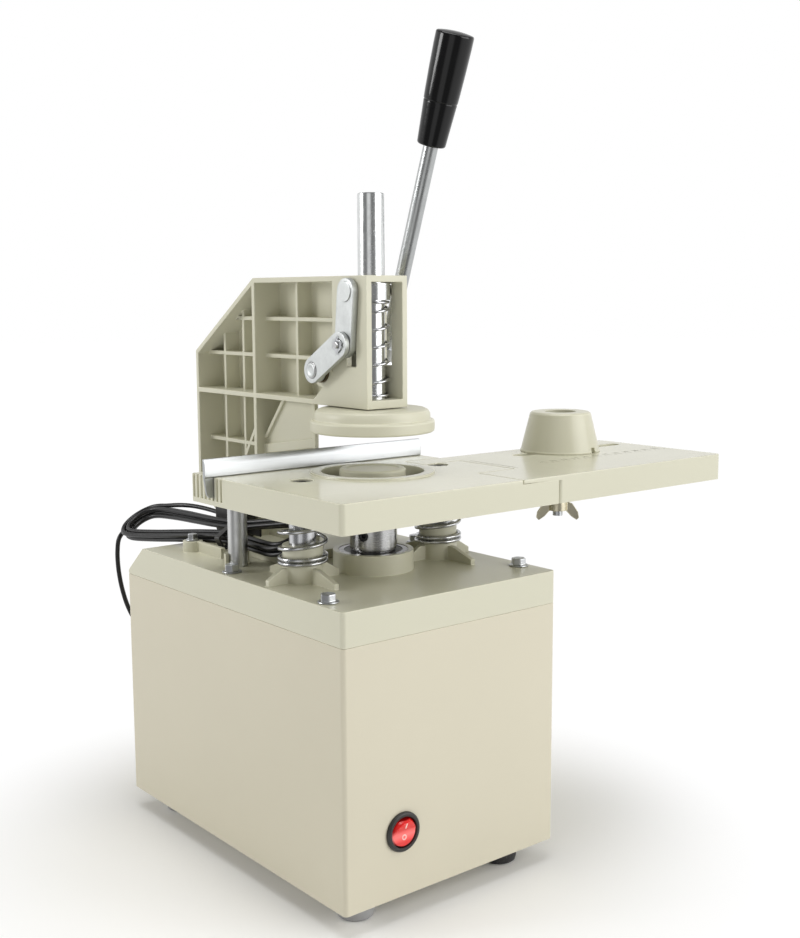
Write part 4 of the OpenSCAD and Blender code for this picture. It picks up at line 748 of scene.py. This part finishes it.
def spring(name, node, centre_x, radius, wire, low, high, ends):
    """A spring between two heights, with closed turns at both ends."""
    first, free, last = ends
    total, close = first + free + last, wire + CLOSED_GAP
    rise = high - low - wire - close * (first + last)
    points = []
    for i in range(round(total * TURN_STEPS) + 1):
        turns = i / TURN_STEPS
        z = low + wire / 2 + close * min(turns, first) + close * max(turns - first - free, 0)
        z += rise * min(max(turns - first, 0), free) / free
        angle = 2 * math.pi * turns
        across, along = radius * math.cos(angle), radius * math.sin(angle)
        points.append((centre_x + across, SPINDLE_Y + along, z))
    obj = drawn_curve(name, points, wire / 2)
    pick(obj)
    bpy.ops.object.convert(target="MESH")
    smooth(obj, 60)
    wear(obj, spring_steel, body_of[node], node)
    spot(centre_x, SPINDLE_Y, low)
    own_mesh(obj)


for side, x in (("left", -TABLE_POST_X), ("right", TABLE_POST_X)):
    spring("table_spring_coil_" + side, "table_spring_" + side, x, 13.7, 2.4, 193, 226,
           (2, 2.5, 0.5))
spring("return_spring_coil", "return_spring", 0, 10.0, 1.6, 287.5, 345.94,
       (1, 5.125, 1))
spring("ejector_spring_coil", "ejector_spring", 0, 6.0, 1.2, 226.7, 237,
       (1, 2, 0.5))
print("springs made")

# %% [markdown]
# ## Cord end pieces
# The strain relief is a tapered sleeve with slots that let it bend. The plug is a moulded body with
# a waist for the fingers and two flat blades, and the hank is held by a strap.

# %% Strain relief, plug and tie
SLOTS, SLOT_PITCH, SLEEVE_R, SLEEVE_TAPER, SLEEVE_FROM = 6, 2.7, 4.7, 0.34, 4.6
relief_rings = [(5.0, -6), (5.0, 0), (7.0, 0.01), (7.0, 2.4), (6.5, 3.0), (4.9, 3.01), (4.8, 4.5)]
for i in range(SLOTS):
    wide, start = SLEEVE_R - SLEEVE_TAPER * i, SLEEVE_FROM + SLOT_PITCH * i
    relief_rings += [(wide, start), (wide - 0.1, start + 1.5), (wide - 0.9, start + 1.6),
                     (wide - 0.95, start + 2.6)]
relief_rings += [(2.6, 20.9), (2.5, 21.9), (1.75, 22)]
relief = turned("strain_relief", relief_rings, spot(*GLAND), (0, 1, 0), 40)
smooth(relief)
wear(relief, black_plastic, "base", "cord_gland")
tie = worked("hank_tie", black_plastic, 0.3)
plug = worked("cord_plug", black_plastic, 0.8, segments=3)
wear(mains_cord, cord_jacket, "base", "cord_lead", "cord_hank")
spot(*(GLAND + Vector((0, GLAND_OUT, 0))))
print("cord pieces made")

# %% [markdown]
# ## Marks
# The rocker carries a bar and a ring for on and off, one on each of its two tilted faces. Paint has
# hardly any thickness, but as thin solids the marks keep crisp edges at any size. Each one is made
# flat at the origin, turned to its surface and laid on it.

# %% Marks on the rocker
ROCKER = Vector((-40, 1.8, 52.5))
ON_AT, ON_TILT = ROCKER + Vector((0, -5.52, 4.33)), 111.7
OFF_AT, OFF_TILT = ROCKER + Vector((0, -3.61, -2.85)), 88.3


def laid(obj, at, tilt=0.0):
    """Lays a flat piece on a surface through a point in millimetres, tilted about X in degrees."""
    pick(obj)
    obj.matrix_world = Matrix.Translation(spot(*at)) @ Matrix.Rotation(math.radians(tilt), 4, "X")
    settle()
    return obj


def bar(name, wide, long, high):
    """A thin flat bar with broken edges, in millimetres."""
    bpy.ops.object.select_all(action="DESELECT")
    bpy.ops.mesh.primitive_cube_add(size=0.001)
    obj = bpy.context.object
    obj.name = obj.data.name = name
    obj.scale = (wide, long, high)
    settle()
    apply(obj, "BEVEL", width=high / 3000, segments=1)
    return obj


on_mark = laid(bar("on_mark", 0.95, 3.6, 0.12), ON_AT, ON_TILT)
bpy.ops.object.select_all(action="DESELECT")
bpy.ops.mesh.primitive_torus_add(major_segments=48, minor_segments=8, major_radius=0.00128,
                                 minor_radius=0.00036)
off_mark = bpy.context.object
off_mark.scale.z = 0.2
settle()
laid(off_mark, OFF_AT, OFF_TILT)
smooth(joined("rocker_marks", [on_mark, off_mark]))
wear(on_mark, mark_white, "rocker")
print("rocker marks", len(on_mark.data.polygons), "faces")

# %% [markdown]
# The extension has a scale of centimetres from the spindle, with a stroke every half centimetre and
# a figure at each whole one, and a short one across it beside the seam. Figures are text objects
# that are made a mesh and joined with the strokes, so the whole print is one piece.

# %% Scale on the extension
TABLE_TOP, SCALE_Y, INK = 243.0, 36.0, 0.06
SCALE_FROM, SCALE_END, HALF_CM, CM = 110, 228, 5, 10
STROKE, LONG, SHORT, FIGURE, FIGURE_UP = 0.45, 3.0, 1.8, 0.0052, 4
SEAM_X, SEAM_LINE_X, SEAM_MID_Y, THIN = 79, 80.4, 55, 0.3
strokes = []
for place in range(SCALE_FROM, SCALE_END, HALF_CM):
    tall = LONG if place % CM == 0 else SHORT
    strokes.append(laid(bar("stroke", STROKE, tall, INK), (place, SCALE_Y + tall / 2, TABLE_TOP)))
    if place % CM == 0:
        bpy.ops.object.select_all(action="DESELECT")
        bpy.ops.object.text_add()
        figure = bpy.context.object
        figure.data.body = str(place // CM)
        figure.data.align_x = "CENTER"
        figure.data.size, figure.data.extrude = FIGURE, INK / 2000
        bpy.ops.object.convert(target="MESH")
        strokes.append(laid(figure, (place, SCALE_Y + FIGURE_UP, TABLE_TOP)))
strokes += [laid(bar("stroke", 2.0, THIN, INK), (SEAM_X, y, TABLE_TOP))
            for y in range(35, 80, HALF_CM)]
strokes.append(laid(bar("stroke", THIN, 44, INK), (SEAM_LINE_X, SEAM_MID_Y, TABLE_TOP)))
wear(joined("extension_scale", strokes), scale_ink, "table")
print("scale of", len(strokes[0].data.polygons), "faces")

# %% [markdown]
# ## Nodes that keep their own solid
# Everything inside the cabinet, and the small pins, keep their solids. They only take a finish.

# %% Finishes on the remaining nodes
kept = {
    "bottom_plate": cabinet_paint, "foot_studs": zinc_steel, "motor_can": dark_steel,
    "motor_flange": zinc_steel, "motor_studs": zinc_steel, "motor_fan": black_plastic,
    # The bearing's outer ring takes the dark painted shade of ring_steel.
    "capacitor": aluminium, "spindle": turned_steel, "bearing_outer_ring": ring_steel,
    "bearing_inner_ring": turned_steel, "bearing_balls": bright_steel, "lap_studs": zinc_steel,
    "arm_bolts": zinc_steel, "shaft_bushes": bronze, "cross_pin": turned_steel}
for node, finish in kept.items():
    nodes[node].data.materials.clear()
    nodes[node].data.materials.append(finish.material)
left_over = [n for n, o in nodes.items() if not o.hide_render and n not in kept]
print("kept nodes", len(kept), "without a finish", left_over)

# %% [markdown]
# ## Floor and light
# Bright metal looks like metal only if it has something dark to mirror. So glossy rays see two dark
# screens, one to the left of the machine and one in front of it. The rows give the brightness at
# bearings in degrees, from the extension's side round to the back.

# %% Screens
SCREENS = ((-180, 0.22), (-165, 0.22), (-156, 0.85), (-134, 0.85), (-125, 0.22), (-96, 0.22),
           (-83, 0.85), (-70, 1.0), (-45, 1.0), (0, 1.0), (90, 0.95), (148, 0.95), (157, 0.55),
           (166, 0.22), (180, 0.22))


def screens(wiring, place):
    """How bright the studio looks towards a place, by its bearing from the machine."""
    across = wiring.node("ShaderNodeSeparateXYZ", {}, {0: place}, out="X")
    bearing = across.sum("ARCTAN2", across.beside("Y"), across) * (0.5 / math.pi) + 0.5
    return wiring.node("ShaderNodeValToRGB", {"stops": [(d / 360 + 0.5, v) for d, v in SCREENS]},
                       {0: bearing})


print(len(SCREENS), "bearings")

# %% [markdown]
# The floor is pale paper that keeps the shadow near the machine. Its edge would show as a line, so
# further out it fades to the white of the world by a mix with Emission. Glossy rays see the screens
# in it too, or the rods would mirror a white floor.

# %% Floor
FADE_FROM, FADE_TO, FADE_MID = 0.14, 0.30, spot(0, 121, 0)
bpy.ops.object.select_all(action="DESELECT")
bpy.ops.mesh.primitive_circle_add(vertices=64, radius=9, fill_type="NGON",
                                  location=(0, 0, -0.0002))
floor = bpy.context.object
floor.name = "pale_floor"
settle()
paper = Finish("cabinet_paint", "floor_paper", base_color=(0.93, 0.93, 0.93, 1), roughness=0.9,
               specular_ior_level=0.1)
spread = paper.node("ShaderNodeVectorMath", {"operation": "DISTANCE"},
                    {0: paper.place, 1: FADE_MID}, out="Value")
far = paper.node("ShaderNodeMapRange", {"interpolation_type": "SMOOTHSTEP"},
                 {"Value": spread, "From Min": FADE_FROM, "From Max": FADE_TO})
mirrored = paper.node("ShaderNodeLightPath", out="Is Glossy Ray")
glow, dark = (paper.node("ShaderNodeEmission", {}, {"Color": (1, 1, 1, 1), "Strength": strength})
              for strength in (1.02, 0.0))
glow = paper.node("ShaderNodeMixShader", {}, {
    0: mirrored * (1 - screens(paper, paper.place)), 1: glow, 2: dark})
blend = paper.node("ShaderNodeMixShader", {}, {
    0: far, 1: Tone(paper, paper.shader.outputs[0]), 2: glow})
paper.join(paper.tree.nodes["Material Output"].inputs["Surface"], blend)
floor.data.materials.append(paper.material)
print("floor fades from", FADE_FROM, "to", FADE_TO)

# %% [markdown]
# The camera sees a white world. Its diffuse light is weak and slightly warm, like light bounced by
# a bench, and glossy rays see the screens under a ceiling that is darker overhead. A large lamp
# stands to the front right, one hangs above, and a small one lights the left side from behind.

# %% World and lamps
AMBIENT, WARM, WHITE, AIM = 0.32, (1.0, 0.98, 0.89, 1), (1, 1, 1, 1), Vector((0, 0, 0.22))
world = bpy.data.worlds.new("studio")
bpy.context.scene.world = world
world.use_nodes = True
studio = Wiring(world.node_tree)
background = world.node_tree.nodes["Background"]
towards = studio.node("ShaderNodeTexCoord", out="Generated")
upward = studio.node("ShaderNodeSeparateXYZ", {}, {0: towards}, out="Z")
ceiling = studio.node("ShaderNodeMapRange", {}, {
    "Value": upward, "From Min": 0.22, "From Max": 0.5, "To Min": 1.0, "To Max": 0.45})
walls = screens(studio, towards) * ceiling
seen = studio.node("ShaderNodeLightPath", out="Is Camera Ray")
glossy, through = seen.beside("Is Glossy Ray"), seen.beside("Is Transmission Ray")
level = AMBIENT + (1 - AMBIENT) * seen.sum("MAXIMUM", seen, through) + glossy * (walls - AMBIENT)
studio.join(background.inputs["Strength"], level)
plain = seen.sum("MAXIMUM", seen, glossy)
studio.join(background.inputs["Color"], studio.mix(plain, WARM, WHITE))


def lamp(name, at, size, power):
    bpy.ops.object.select_all(action="DESELECT")
    bpy.ops.object.light_add(type="AREA", location=at)
    light = bpy.context.object
    light.name = name
    light.data.size = size
    light.data.energy = power
    light.rotation_euler = (AIM - Vector(at)).to_track_quat("-Z", "Y").to_euler()


lamp("key_lamp", (1.0, -2.0, 1.05), 2.0, 37)
lamp("top_lamp", (-0.2, -0.1, 2.2), 1.4, 20)
lamp("left_lamp", (-1.75, 1.0, 0.87), 0.7, 14)
bpy.context.scene.view_settings.view_transform = "Standard"
print("studio set")
